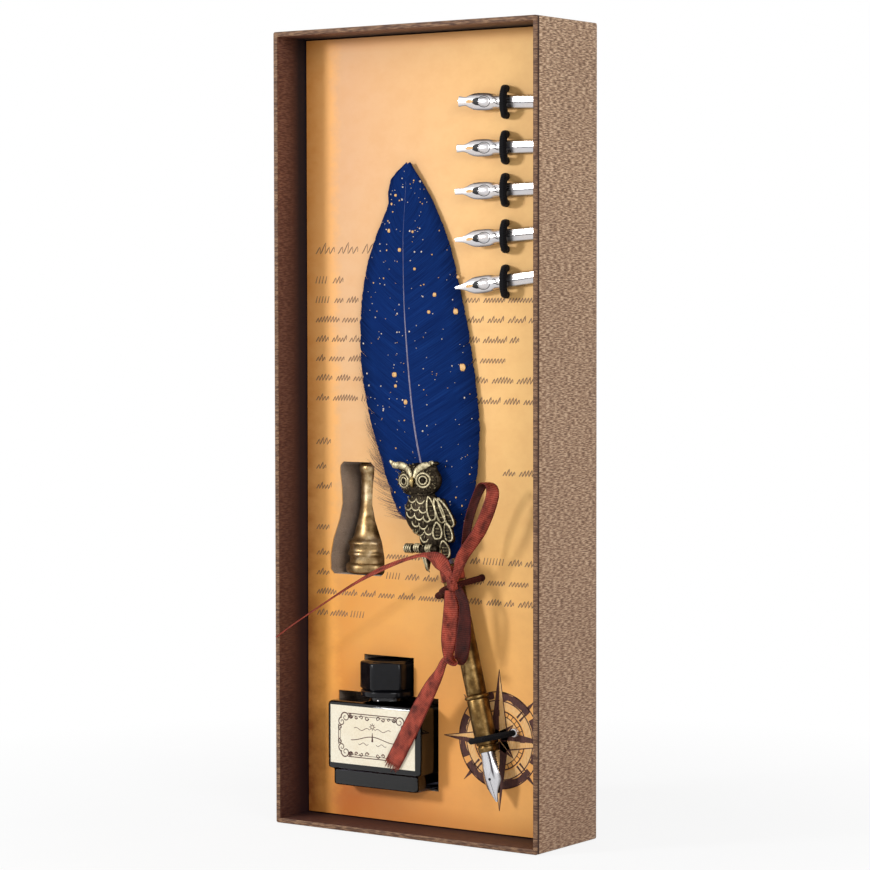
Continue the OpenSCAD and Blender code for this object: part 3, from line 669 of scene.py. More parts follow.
# Each route's points as in part.scad: x, height over the card and z
UPPER_LOOP = [(21.6, 13.4, 99.2), (25.5, 15.2, 108), (30, 15.8, 119), (35.6, 15.6, 130.5),
              (38.6, 14, 132.6), (38, 12.4, 128), (33.5, 11.6, 116), (27.5, 11.6, 106), (23.6, 11.8, 100.2)]
LOWER_LOOP = [(19.6, 14.6, 93), (17.8, 16, 84), (17.8, 16.6, 75), (19.8, 16, 68.6),
              (22.6, 14.6, 66.4), (24.6, 13, 69), (25.2, 12.5, 78), (23.6, 12.5, 87), (21.4, 12.8, 92.4)]
LEFT_TAIL = [(18.4, 14.6, 99.8), (15.4, 15.6, 103.6), (10, 16.4, 105.6), (2.9, 16.6, 104.1),
             (-9, 16.8, 99.8), (-22.6, 17.2, 93.1), (-36, 17.8, 85.2), (-50, 18.3, 76.6), (-58.6, 18.3, 71)]
LOWER_TAIL = [(17, 15.6, 66), (14.8, 15.2, 62), (10.6, 14.2, 56.6), (5.6, 13, 49.6),
              (0.8, 12, 42.2), (-3.8, 11.5, 34.8), (-8.8, 11.4, 26.4)]
UPPER_MOVES = [(0, 0), (-0.5, -1.4), (-0.9, -2.6), (-3.0, -2.6), (-3.2, -1.6), (-2.4, 0), (-0.3, 1.4),
               (-0.6, 2.8), (-2.0, 3.2), (-0.5, 3.0), (-0.1, 2.0)]
LOWER_MOVES = [(0, 0), (2.6, -1.0), (2.2, -0.6), (0.2, 0), (0, 0.4), (-0.8, 0.8), (-0.4, 0.8), (1.4, 0.8),
               (1.4, 0.6), (0, 0)]
FACING = (0.82, 0.58, 0)
AT_BEND = (0.6, 0.75, 0)
ribbon_length("satin_upper_loop", "bow_upper_loop", "pen",
              [(20.7, 13.6, 96.0)] + UPPER_LOOP + [(21.4, 12.4, 96.4)],
              [1.2, 1.3, 1.5, 1.6, 1.7, 2.2, 2.4, 2.5, 2.3, 1.7, 1.3], UPPER_MOVES,
              [FACING] * 5 + [(0.2, 0.98, 0)] + [FACING] * 5, "object")
ribbon_length("satin_lower_loop", "bow_lower_loop", "pen", LOWER_LOOP + [(20.6, 12.8, 95.0)],
              [2.0, 3.1, 2.9, 1.9, 2.4, 2.7, 2.6, 1.9, 1.6, 1.3], LOWER_MOVES,
              [FACING] * 3 + [AT_BEND, (0, 1, 0.15), AT_BEND] + [FACING] * 4, "object")
ribbon_length("satin_left_tail", "ribbon_left_tail", "pen", [(19.8, 14.2, 96.2)] + LEFT_TAIL,
              [1.2, 2.0, 3.1, 1.0, 0.65, 0.85, 0.5, 0.3, 0.26, 0.24], [(0, 0)] * 10, [(0.57, 0, 0.82)] * 10,
              "bare", crown=0.15)
ribbon_length("satin_lower_tail", "ribbon_lower_tail", "lower_tail", [(18.6, 14.9, 68.4)] + LOWER_TAIL,
              [1.2, 1.5, 2.0, 2.9, 3.3, 3.5, 3.5, 3.4], [(0, 0)] * 8, [(0.8, 0, -0.6)] * 8, "bare", fray=26)


# Box
BOX_CORNER = 0.75


def frame_ring(inset, y):
    """Rounded outline of the box, set in from its sides, at one depth."""
    corner = max(BOX_CORNER - inset * 0.4, 0.05)
    right, low, high = BOX_W / 2 - inset - corner, inset + corner, BOX_H - inset - corner
    points = []
    for turn, (x, z) in enumerate(((right, low), (right, high), (-right, high), (-right, low))):
        for k in range(6):
            a = radians(-90 + 90 * turn + 90 * k / 5)
            points.append(Vector((x + corner * cos(a), y, z + corner * sin(a))))
    return points


def make_box():
    """Cover paper as one skin round the boards, from inside the rim over it to the back."""
    build = Build()
    shape = [(0.3, BACK_Y - 0.3)]
    shape += [(inset, RIM_Y + y) for inset, y in (
        (0.3, 0.32), (1.78, 0.32), (1.8, 0.12), (1.6, 0), (0.22, 0), (0.06, 0.08), (0.0, 0.2), (0.0, 0.35),
        (0.15, 0.5), (0.15, 1.25), (0.0, 1.4))]
    shape += [(0.0, mix(RIM_Y + 1.4, BACK_Y - 0.3, k / 8)) for k in range(1, 9)]
    shape += [(0.1, BACK_Y - 0.08), (0.35, BACK_Y)]
    rings = [frame_ring(inset, y) for inset, y in shape]
    build.rings(rings)
    # The groove's faces take the painted-shade paper, the rim's front the rim paper
    for kind, first, last in ((2, 2, 8), (1, 8, 11)):
        for face in range(first * len(rings[0]), last * len(rings[0])):
            build.kinds[face] = kind
    settle(build.piece("box_wrap", [COVER, FOLD_SHADE, RIM], sharp=50), "tray", "cover_paper", "cover_left",
           "cover_right", "cover_top", "cover_bottom", "cover_back", "rim_paper")
    dress(GREYBOARD, "back_board", "left_board", "right_board", "top_board", "bottom_board")
    dress(LINING, "wall_lining")
    dress(FOAM, "foam_insert")
    dress(CARD, "printed_card")


make_box()


# Print on the card: rows of practice strokes and a compass rose
PRINT_LIFT = 0.02


def strip(build, line, widths, lay, kind=0):
    """Flat line of one width or of a width at each point, as thick as lay."""
    rows = []
    for i, (p, t) in enumerate(zip(line, tangents(line))):
        side = t.cross(INWARD).normalized()
        half = value_at(widths, i) / 2
        rows.append([p - side * half, p + side * half])
    build.sheet(rows, lay, kind)


def pen_stroke(build, points, widths, kind=0, lift=PRINT_LIFT):
    """Flat inked line on the card through (x, z) points."""
    strip(build, [at(x, lift, z) for x, z in points], widths, INWARD * lift * 0.7, kind)


def practice_row(build, draw, z, size, left, right):
    """Groups of slanting strokes and of waves that run even, swell or rise every third time."""
    x = left
    while x < right - 3:
        length = min(draw.uniform(4, 12), right - x)
        pattern = draw.choice(("strokes", "even", "swell", "swell", "third", "third"))
        turns = max(int(length / (0.46 * size)), 2)
        points, widths = [], []
        for k in range(turns):
            heights = {"strokes": 0.9, "even": 0.62, "swell": 0.5 + 0.4 * sin(pi * (k + 0.5) / turns),
                       "third": 0.92 if k % 3 == 1 else 0.56}
            high = size * heights[pattern]
            if pattern == "strokes":
                start = x + k * 0.5 * size
                pen_stroke(build, [(start, z), (start + 0.28 * high, z + high)], [0.42, 0.26])
                continue
            for j in range(6):
                swing = 0.5 - 0.5 * cos(pi * j / 3)
                points.append((x + length * (k + j / 6) / turns + 0.35 * high * swing, z + high * swing))
                widths.append(0.26 + 0.2 * (0.5 + 0.5 * sin(pi * j / 3)))
        if points:
            pen_stroke(build, points, widths)
        x += length + draw.uniform(1.3, 2.2)


# Rows of practice: z, letter height, left and right end
PRACTICE = ((216.6, 4.6, -53, -26), (205.4, 3, -53, -40), (198, 2.8, -53, 51), (190.6, 2.8, -53, 51),
            (183.2, 2.8, -53, 40), (175.8, 2.8, -53, 34), (168.4, 2.8, -53, 48), (160.8, 2.8, -53, 53),
            (144, 3, -53, -42), (134.6, 2.8, -53, -46), (134.6, 2.8, 33, 50), (127, 2.8, -53, -46),
            (111.4, 3, -53, -47), (101.6, 2.8, -53, -47), (101.6, 2.8, -20, 50), (94, 2.8, -53, -47),
            (94, 2.8, -20, 53), (86.6, 2.8, -53, 48), (78.4, 2.8, -53, -30))


def make_practice():
    build = Build()
    draw = random.Random(5)
    for row in PRACTICE:
        practice_row(build, draw, *row)
    settle(build.piece("practice_strokes", [SCRIPT_INK], smooth=False), "tray", "card_print")


ROSE_X, ROSE_Z, ROSE_R = 31.4, 37.0, 17.9
# Worn stretches of the rose's broad ring: low and high turn, and the seed of their edge
ROSE_STRETCHES = ((4, 50, 2), (58, 118, 3), (128, 176, 4), (186, 236, 5), (244, 300, 6), (308, 352, 7))


def rose_point(r, turn):
    a = radians(turn)
    return (ROSE_X + r * sin(a), ROSE_Z + r * cos(a))


def rose_arc(build, r, width, low=0, high=360, wobble=0.0, seed=1, kind=0, lift=PRINT_LIFT):
    draw = random.Random(seed)
    count = max(int((high - low) / 5), 2)
    turns = [mix(low, high, k / count) for k in range(count + 1)]
    pen_stroke(build, [rose_point(r, t) for t in turns],
               [width * (1 + wobble * draw.uniform(-1, 1)) for _ in turns], kind, lift)


def rose_half(build, reach, waist, turn, side, kind=0):
    """One half of a ray, from the centre to its point."""
    aside = turn + side * 45
    corners = [rose_point(0.3, aside), rose_point(waist, aside), rose_point(reach, turn)]
    front = [Vector((x, CARD_Y - PRINT_LIFT * 1.6, z)) for x, z in corners]
    back = [p + INWARD * PRINT_LIFT * 1.2 for p in front]
    build.add(front + back, [(0, 1, 2), (5, 4, 3), (0, 3, 4, 1), (1, 4, 5, 2), (2, 5, 3, 0)], kind)


def short_ray(build, turn):
    """Ray between two long ones, with its marks on the rings."""
    for off in (-4, 4):
        pen_stroke(build, [rose_point(11.8, turn + off), rose_point(15.4, turn + off * 0.8)], [0.9, 0.5])
    pen_stroke(build, [rose_point(ROSE_R, turn), rose_point(ROSE_R + 4.6, turn)], [1.5, 0.15])
    for side in (-1, 1):
        rose_half(build, 9.0, 3.4, turn, side)


def long_ray(build, turn, reach):
    """Ray with a dark and a pale half, drawn round in ink."""
    for side, kind in ((-1, 0), (1, 1)):
        rose_half(build, reach, 4.8, turn, side, kind)
    for side in (-1, 1):
        edge = [rose_point(4.8, turn + side * 45), rose_point(reach, turn)]
        pen_stroke(build, edge, [0.5, 0.25], lift=PRINT_LIFT * 2)


def make_rose():
    build = Build()
    for r, width in ((13.4, 3.4), (7.0, 4.6)):
        rose_arc(build, r, width, kind=1, lift=PRINT_LIFT / 2)
    rose_arc(build, ROSE_R, 0.45)
    for low, high, seed in ROSE_STRETCHES:
        rose_arc(build, ROSE_R - 1.4, 2.7, low, high, 0.25, seed)
    for r, width in ((ROSE_R - 3.2, 0.45), (11.0, 0.5), (9.2, 0.35), (4.2, 0.4)):
        rose_arc(build, r, width)
    for k in range(32):
        pen_stroke(build, [rose_point(9.2, k * 11.25), rose_point(11.0, k * 11.25)], 0.3)
    for k in range(4):
        short_ray(build, 45 + 90 * k)
    for k in range(4):
        long_ray(build, 90 * k, 24.8 if k % 2 else 26.2)
    settle(build.piece("compass_rose", [ROSE_INK, PALE_INK], smooth=False), "tray", "card_print")


make_practice()
make_rose()


# Spare nibs; the lists give from the top nib down its z, turn, point's width and how far that is cut off
NIB_X, NIB_LENGTH, NIB_R = 15.4, 37.0, 2.6
NIB_ROWS = [271.7, 254.5, 238.7, 220.9, 203.4]
NIB_TURNS = [-2, 0, 1, 4, 7]
NIB_POINTS = [3.8, 2.9, 2.2, 1.4, 0.8]
NIB_STARTS = [1.4, 0.7, 0, 0, 0]
NIB_RISE = radians(4)


# Elastics
LOOP_X, LOOP_TOP, LOOP_LEAN = 34.6, 5.745, 2.4
FOOT_DEPTH = -6.5
LOWER_S, UPPER_S = 25.4, 82
TIE_HALF = 9.5
TIE_SKEW = radians(9)
CRIMP_U = 10.2


def elastic(build, points, radius, hint):
    build.tube(flowing(points, 6), radius, sides=14, hint=hint)


def make_nib_loops():
    build = Build()
    half = [(4.8, FOOT_DEPTH), (4.8, -2), (4.8, 1.6), (4.4, 4.0), (3.0, 5.4), (1.4, LOOP_TOP)]
    profile = [(-u, h) for u, h in half] + half[::-1]
    for row, turn in zip(NIB_ROWS, NIB_TURNS):
        z = row + (LOOP_X - NIB_X) * tan(radians(turn))
        route = [at(LOOP_X + LOOP_LEAN * smooth_step(h / LOOP_TOP), h, z + u) for u, h in profile]
        elastic(build, route, 1.4, RIGHTWARD)
    settle(build.piece("nib_elastics", [ELASTIC]), "tray", "elastic", "nib_loops")


def arc_over(r, left, right, right_top):
    """Route of an elastic over a round part, as (u, v) in the pen's frame."""
    low = 11.6
    arc = [(r * cos(radians(a)), -r * sin(radians(a))) for a in range(170, 40, -20)]
    return ([(-left, low), (-left, 8), (-left, 4.4), (-left, 1.5)] + arc
            + [(right - 0.5, right_top), (right, 6.5), (right, low)])


def on_tie(u, v):
    return on_pen(u * cos(TIE_SKEW), v, UPPER_S + u * sin(TIE_SKEW))


def make_pen_elastics():
    build = Build()
    elastic(build, [on_pen(u, v, LOWER_S) for u, v in arc_over(5.4, 5.4, CRIMP_U, 3.1)], 1.15, PEN_AXIS)
    settle(build.piece("grip_elastic", [ELASTIC]), "tray", "elastic", "pen_lower_loop")
    build = Build()
    elastic(build, [on_tie(u, v) for u, v in arc_over(5.1, TIE_HALF, TIE_HALF, 4.3)], 1.2, PEN_AXIS)
    foot = [(0, -1.2), (0.9, -1.1), (1.3, -0.5), (1.35, 0.2), (1.1, 0.22), (0, 0.22)]
    for u in (-TIE_HALF, TIE_HALF):
        build.lathe(foot, on_tie(u, 4.9), INWARD, sides=20)
    settle(build.piece("barrel_tie", [TIE]), "tray", "tie", "pen_upper_tie")
    build = Build()
    shell = [(1.05, 0), (1.5, 0), (1.65, 0.2), (1.65, 0.6), (1.5, 0.75), (1.65, 0.9), (1.65, 1.3),
             (1.45, 1.5), (1.05, 1.5), (1.05, 0.01)]
    build.lathe(shell, on_pen(CRIMP_U, 3.5, LOWER_S), INWARD, PEN_RIGHT, 32)
    settle(build.piece("crimp_ring", [SPARE_STEEL], sharp=40), "tray", "crimp", "loop_crimp")


make_nib_loops()
make_pen_elastics()


# Pen
def turned_brass(name, node, sharp, profile):
    build = Build()
    build.lathe(profile, PEN_TIP, PEN_AXIS, PEN_RIGHT, 72)
    settle(build.piece(name, [BRASS], sharp=sharp), "pen", "antique_brass", node)


turned_brass("barrel", "pen_barrel", 40, [
    (2.65, 47.9), (2.65, 41.8), (3.55, 41.8), (3.8, 42.1), (3.8, 44), (3.8, 66), (3.8, 90.0), (3.6, 90.55),
    (3.2, 90.8), (1.68, 90.8), (1.68, 80.5), (0.2, 80.4)])
turned_brass("collar_ring", "pen_collar", 60, [
    (2.67, 40.2), (4.0, 40.2), (4.4, 40.35), (4.65, 40.7), (4.7, 41.0), (4.65, 41.3), (4.4, 41.65),
    (4.0, 41.8), (2.67, 41.8)])
# The grip's bore is open for the nib
turned_brass("grip", "pen_grip", 40, [
    (3.06, 30.0), (3.06, 20.6), (3.2, 20.5), (3.45, 20.6), (3.6, 20.95), (3.62, 22.0), (3.55, 22.5),
    (3.32, 22.75), (3.3, 23.0), (3.45, 23.15), (3.78, 23.4), (3.92, 25), (4.05, 28), (4.1, 32), (4.1, 39.7),
    (3.95, 40.1), (3.7, 40.2), (2.6, 40.2), (2.6, 47.6), (0.2, 47.8), (0.2, 30.1)])


# The pen's nib: height of its arch, radius of the arch near the tip, its ends along the pen
NIB_CREST = 3.0
NIB_BOW = 4.8
NIB_FIRST, NIB_LAST = 2.0, 29.5
NIB_SHEET = 0.35
NIB_HOLE = 10.6
NIB_COLUMNS = 14
FEED_FIRST = 5.0
# Half width of its sheet at each s
NIB_HALVES = [(2.0, 0.3), (2.4, 0.45), (4, 1.0), (6, 1.85), (8, 2.95), (9.6, 3.7), (10.2, 3.82), (11, 3.78),
              (14, 3.45), (18, 3.0), (20.5, 2.8), (21.5, 2.9), (25, 2.95), (29.5, 2.95)]


def nib_place(share, s, half, bend, lift=0.0):
    """Point of the pen's nib: share across, s up the pen, on an arch that flattens and dips to the tip."""
    angle = share * asin(min(half / bend, 1.0))
    dip = 2.3 * max(1 - s / 13, 0.0) ** 1.4
    r = bend + lift
    return on_pen(r * sin(angle), dip + bend - NIB_CREST - r * cos(angle), s)


def make_pen_nib():
    build = Build()
    front, back, marks = [], [], []
    shares = [2 * j / NIB_COLUMNS - 1 for j in range(NIB_COLUMNS + 1)]
    for k in range(61):
        s = mix(NIB_FIRST, NIB_LAST, k / 60)
        marks += [(s, share) for share in shares]
        half = look_up(NIB_HALVES, s)
        bend = mix(NIB_BOW, NIB_CREST, smooth_step((s - 10) / 9))
        front.append([nib_place(share, s, half, bend) for share in shares])
        back.append([nib_place(share, s, half, bend, -NIB_SHEET) for share in shares])
    build.slab(front, back, 0, marks)
    slit = [nib_place(0, s, 1, NIB_BOW, 0.03) for s in (2.4, 5, 8, 10.2)]
    build.tube(slit, [0.05, 0.06, 0.06, 0.07], 1, 6)
    hole = [(0, 0), (0.55, 0), (0.55, 0.05), (0, 0.05)]
    build.lathe(hole, nib_place(0, NIB_HOLE, 1, NIB_BOW, 0.05), INWARD, PEN_RIGHT, 20, 1)
    for side in (-1, 1):
        crease = [nib_place(side * share, s, 3.0, 4.0, 0.03)
                  for s, share in ((12.2, 0.1), (13.2, 0.34), (15.4, 0.46), (17.4, 0.44), (19.6, 0.3))]
        build.tube(flowing(crease, 5), 0.06, 0, 6)
    settle(build.piece("pen_nib_sheet", [NIB_STEEL, FEED], sharp=50), "nib_unit", "nib_steel", "pen_nib")


def make_pen_feed():
    """Ribbed feed under the nib, with a flat back."""
    build = Build()
    rings = []
    for k in range(120):
        s = mix(FEED_FIRST, NIB_LAST, k / 119)
        r = min(0.6 + (s - FEED_FIRST) * 0.3, 2.58)
        if 11.5 < s < 20 and int(s / 0.45) % 2:
            r -= 0.3
        drop = 1.5 * max(1 - s / 13, 0.0)
        rings.append([on_pen(r * cos(a), max(r * sin(a), -r * 0.5) + drop, s) for a in circle(28)])
    build.rings(rings)
    settle(build.piece("ribbed_feed", [FEED], sharp=30), "nib_unit", "feed", "nib_feed")


WRAP_LOW, WRAP_LONG = 84.6, 5
KNOT_TURN = radians(35)
# Wrap's section: radius and height on the barrel
WRAP_SECTION = ((3.87, 0), (4.25, 0), (4.4, 0.5), (4.5, 2.5), (4.4, 4.5), (4.25, WRAP_LONG),
                (3.87, WRAP_LONG))
# Knot's bulge: way out from the barrel's axis, half width and half height
KNOT = [(4.6, 2.0, 2.4), (5.6, 2.2, 2.6), (7.0, 2.3, 2.8), (8.4, 2.3, 2.9), (9.6, 2.1, 2.8), (10.5, 1.7, 2.3),
        (11.0, 1.1, 1.6), (11.2, 0.4, 0.6)]
# Crossing strand in front of it: z, half width and half depth
KNOT_STRAND = [(98.6, 0.8, 0.7), (97.6, 1.4, 1.2), (96.2, 1.7, 1.5), (94.8, 1.8, 1.6), (93.4, 1.6, 1.3),
               (92.6, 1.0, 0.8)]


def make_wrap():
    """A turn of ribbon round the barrel."""
    build = Build()
    rings, marks = [], []
    for a in circle(48):
        slope = 0.5 * sin(a)
        ring = []
        for j, (r, s) in enumerate(WRAP_SECTION):
            rough = 0.12 * sin(5 * a + j) if j in (2, 3, 4) else 0.0
            ring.append(on_pen((r + rough) * sin(a), -(r + rough) * cos(a), WRAP_LOW + s + slope * 0.2))
            marks.append((4.4 * a, s / 2.5 - 1))
        rings.append(ring)
    build.rings(rings, closed=True, marks=marks)
    settle(build.piece("barrel_wrap", [RIBBON], sharp=60), "pen", "ribbon", "ribbon_wrap")


def folded(build, sections, count, folds, place, mark):
    """Lump of satin: rings whose folds turn a little from one section to the next."""
    rings, marks = [], []
    for i, section in enumerate(flowing([Vector(row) for row in sections], 4)):
        ring = []
        for a in circle(count):
            fold = 1 + sum(depth * sin(times * a + turn * i) for depth, times, turn in folds)
            ring.append(place(section, fold, a))
            marks.append(mark(section, a))
        rings.append(ring)
    build.rings(rings, marks=marks)


def make_knot():
    """The bow's knot: a folded bulge on the wrap with a strand across its front."""
    out = PEN_RIGHT * sin(KNOT_TURN) - INWARD * cos(KNOT_TURN)
    side = PEN_AXIS.cross(out)
    middle = on_pen(0, 0, WRAP_LOW + 2.2)
    along, away = Vector(FACING), Vector((0.58, -0.82, 0))
    build = Build()
    folded(build, KNOT, 48, ((0.09, 6, 0.25), (0.05, 11, -0.15)),
           lambda p, fold, a: middle + out * p.x + side * p.y * fold * cos(a)
           + PEN_AXIS * p.z * fold * sin(a),
           lambda p, a: (p.z * 2 * sin(a) + 0.4 * p.x, 0.6 * cos(a)))
    folded(build, KNOT_STRAND, 40, ((0.15, 5, 0.5), (0.08, 9, -0.3)),
           lambda p, fold, a: at(20.3 + 0.1 * (95 - p.x), 14.3, p.x) + along * p.y * fold * cos(a)
           + away * p.z * fold * sin(a),
           lambda p, a: (p.x + p.y * sin(a), 0.6 * cos(a)))
    settle(build.piece("bow_knot", [RIBBON], sharp=70), "pen", "ribbon", "ribbon_knot")


make_pen_nib()
make_pen_feed()
make_wrap()
make_knot()


# Pen stand, from under the foot up its outside and down its bore
STAND = Vector((-34.2, 7.8, 95))
STAND_SHAPE = [(0.3, 0.6), (7.6, 0.5), (8.4, 0.0), (9.3, 0.05), (9.8, 0.4), (10, 1.0), (10, 2.6),
               (9.75, 3.3), (9.2, 3.75), (8.7, 3.95), (8.6, 5.0), (8.7, 6.3), (9.1, 6.65), (9.3, 7.0),
               (9.3, 7.6), (9.1, 7.95), (8.7, 8.3), (8.6, 9.4), (8.7, 10.5), (9.05, 10.9), (9.2, 11.3),
               (9.05, 11.9), (8.5, 12.5),
               (7.6, 13.0), (7.0, 14.0), (6.5, 15.6), (6.1, 17.4), (5.4, 20.0), (4.85, 22.6), (4.5, 25.2),
               (4.28, 27.6), (4.15, 30.5), (4.1, 33.5), (4.1, 37.6), (4.35, 38.1), (4.75, 38.9), (4.85, 40),
               (4.7, 40.9), (4.3, 41.7), (3.8, 42), (3.4, 41.9), (3.3, 41.5), (3.3, 20.1), (0.3, 20.0)]


def make_stand():
    build = Build()
    build.lathe(STAND_SHAPE, STAND, sides=96)
    settle(build.piece("brass_stand", [STAND_BRASS], sharp=60), "stand", "antique_brass", "pen_stand")


make_stand()


# Ink bottle
BOTTLE = Vector((-18.9, -2.5, 0))
BOTTLE_W, BOTTLE_D = 21.7, 10.5
# Its block: how far each ring is set in at the sides and at front and back, its corner and its z
BLOCK = [(4, 3, 1.4, 16.2), (3.2, 2.2, 1.6, 15.6), (2.4, 1.4, 1.8, 15.65), (2.05, 1.05, 2, 16.1),
         (2, 1, 2, 17), (2, 1, 2, 21.1), (1.8, 0.8, 2, 21.7), (1.0, 0.35, 2, 21.95), (0.3, 0.1, 2, 22.2),
         (0, 0, 2, 22.8), (0, 0, 2, 30), (0, 0, 2, 40), (0, 0, 2, 46), (0.15, 0.15, 2, 46.8),
         (0.6, 0.6, 2, 47.4), (1.4, 1.4, 2, 47.6)]
# Its round neck: radius and z
NECK = [(8.2, 47.8), (7.6, 48.2), (7.5, 49), (7.5, 60), (7.1, 60.5), (5.4, 60.55), (5.05, 60.2), (5, 59),
        (5, 45.6)]


def block_ring(half_w, half_d, corner, z):
    points = []
    for turn, (sx, sy) in enumerate(((1, -1), (1, 1), (-1, 1), (-1, -1))):
        for k in range(10):
            a = radians(-90 + 90 * turn + 90 * (k + 0.5) / 10)
            points.append(BOTTLE + Vector((sx * (half_w - corner) + corner * cos(a),
                                           sy * (half_d - corner) + corner * sin(a), z)))
    return points


def make_bottle():
    build = Build()
    build.rings([block_ring(BOTTLE_W - w, BOTTLE_D - d, corner, z) for w, d, corner, z in BLOCK]
                + [block_ring(10.4, 8.6, 5, 47.7)] + [block_ring(r, r, r, z) for r, z in NECK])
    settle(build.piece("glass_bottle", [GLASS], sharp=50), "bottle", "bottle_glass", "bottle_glass")
    dress(INK, "ink")


LABEL_W, LABEL_H, LABEL_LOW = 39.2, 22.0, 24.2
LABEL_MID = Vector((BOTTLE.x, BOTTLE.y - BOTTLE_D - 0.15, LABEL_LOW + LABEL_H / 2))
BORDER_W, BORDER_H, BORDER_GAP = 15.8, 8.2, 4.4
# Scrolls in each corner: how far in from the border's corner, radius, start in degrees and way round
CORNER_SCROLLS = ((3.2, 1.6, 2.1, 0, 1), (1.5, 3.4, 1.7, 90, -1), (5.6, 0.9, 1.1, 180, 1),
                  (0.8, 5.6, 1.0, 270, 1))


def label_line(build, points, widths):
    line = [LABEL_MID + Vector((x, -0.02, z)) for x, z in points]
    strip(build, line, widths, INWARD * 0.015)


def scroll(x, z, r, turns, start, spin):
    """Points and widths of a line that winds inwards and gets thinner."""
    points, widths = [], []
    count = int(turns * 14)
    for k in range(count + 1):
        t = k / count
        a = start + spin * turns * 2 * pi * t
        near = r * (1 - 0.82 * t)
        points.append((x + near * cos(a), z + near * sin(a)))
        widths.append(mix(0.5, 0.22, t))
    return points, widths


def label_border(build):
    """Double frame with open corners, each filled with scrolls."""
    for inset, width in ((0.0, 0.35), (0.8, 0.18)):
        a, b = BORDER_W - inset, BORDER_H - inset
        x, z = a - BORDER_GAP, b - BORDER_GAP
        for x0, z0, x1, z1 in ((-x, b, x, b), (-x, -b, x, -b), (-a, -z, -a, z), (a, -z, a, z)):
            label_line(build, [(mix(x0, x1, k / 8), mix(z0, z1, k / 8)) for k in range(9)], width)
    for sx in (-1, 1):
        for sz in (-1, 1):
            for dx, dz, r, start, spin in CORNER_SCROLLS:
                points, widths = scroll(BORDER_W - dx, BORDER_H - dz, r, 1.3, radians(start), spin)
                label_line(build, [(sx * x, sz * z) for x, z in points], widths)


def label_drawing(build):
    """Small scrolls, wavy lines, and a nib under a sun."""
    for side in (-1, 1):
        for k in range(4):
            points, widths = scroll(side * (2.6 + 2.5 * k), 6.9, 0.95 - 0.12 * k, 1.1, pi * (k % 2), side)
            label_line(build, points, widths)
            label_line(build, [(x, -z) for x, z in points], widths)
        above = [(side * mix(1.2, 8.5, k / 10), 2.6 + 0.5 * sin(k * 0.9)) for k in range(11)]
        below = [(side * mix(1.8, 6.5, k / 10), -2.9 - 0.4 * sin(k * 0.9)) for k in range(11)]
        middle = [(side * mix(0, 10, k / 12), 0.9 * cos(k * 0.26) - 0.9) for k in range(13)]
        for points, width in ((above, 0.22), (below, 0.2), (middle, 0.3)):
            label_line(build, points, width)
    label_line(build, [(0, 1.6), (0, -1.9)], [0.2, 0.9])
    for a in circle(8):
        label_line(build, [(r * cos(a), 3.8 + r * sin(a)) for r in (0.5, 1.5)], [0.45, 0.12])


def make_bottle_label():
    build = Build()
    w, h = LABEL_W / 2, LABEL_H / 2
    rows = [[LABEL_MID + Vector((mix(-w, w, i / 24), 0, mix(-h, h, j / 12))) for i in range(25)]
            for j in range(13)]
    build.sheet(rows, INWARD * 0.14)
    settle(build.piece("paper_label", [LABEL], sharp=40), "bottle", "label", "bottle_label")
    build = Build()
    label_border(build)
    label_drawing(build)
    settle(build.piece("label_ornament", [ROSE_INK], smooth=False), "bottle", "label")


# Cap from inside its top round its skirt to its crown: radius, z, and how soft the six corners are if any
CAP_SHAPE = ((0.5, 61.6), (7.8, 61.6), (7.8, 50.2), (8.0, 50.0), (10.3, 50.0), (10.6, 50.2), (10.7, 50.5),
             (10.7, 51.6), (10.6, 52.0), (10.3, 52.2), (10.45, 52.5, 0.45), (11.0, 52.9, 0.4),
             (11.2, 53.3, 0.35), (11.2, 58, 0.35), (11.2, 62.2, 0.35), (11.0, 62.7, 0.4), (10.6, 63.0, 0.5),
             (9.3, 63.05), (9.0, 63.3), (8.6, 63.5), (8.1, 63.55), (7.8, 63.3), (7.4, 63.1), (0.5, 63.05))


def cap_ring(radius, z, soft=None):
    """Six-sided outline with softened corners, or a circle where soft is none."""
    points = []
    for k in range(96):
        turn = radians(3.75 * k)
        a = radians(3.75 * k - 90)
        r = radius
        if soft is not None:
            r = min(radius * cos(pi / 6) / cos(turn % (pi / 3) - pi / 6), radius - soft)
        points.append(BOTTLE + Vector((r * cos(a), r * sin(a), z)))
    return points


def make_cap_piece():
    build = Build()
    build.rings([cap_ring(*row) for row in CAP_SHAPE])
    settle(build.piece("screw_cap", [CAP], sharp=35), "cap", "cap", "bottle_cap")
    dress(LINER, "cap_liner")


make_bottle()
make_bottle_label()
make_cap_piece()


# Feather
BARREL_END = (12.983, 101.503)
FEATHER_LENGTH = 148.497
QUILL_FOOT = 80.9
# Quill from the barrel's end: x, height over the card and share of the length
QUILL_SHAPE = [(0, 5.1, 0), (-2.9, 5.9, 0.07), (-7.1, 6.8, 0.16), (-11.6, 7.2, 0.25), (-15.4, 6.4, 0.35),
               (-18.3, 5.2, 0.455), (-20.4, 4.2, 0.555), (-21.9, 3.5, 0.655), (-22.7, 2.9, 0.805),
               (-22.1, 2.5, 0.905), (-21.4, 2.2, 1)]
QUILL_RADII = [1.55, 1.0, 0.6, 0.46, 0.4, 0.36, 0.32, 0.26, 0.2, 0.17, 0.14]
EDGE_HEIGHTS = {-1: [5.4, 4.8, 4.2, 3.6, 3.2, 2.8, 2.6, 2.3, 2, 1.8, 2],
                1: [5.4, 5, 3.6, 2.4, 1.8, 1.4, 1.4, 1.4, 1.4, 1.4, 1.8]}
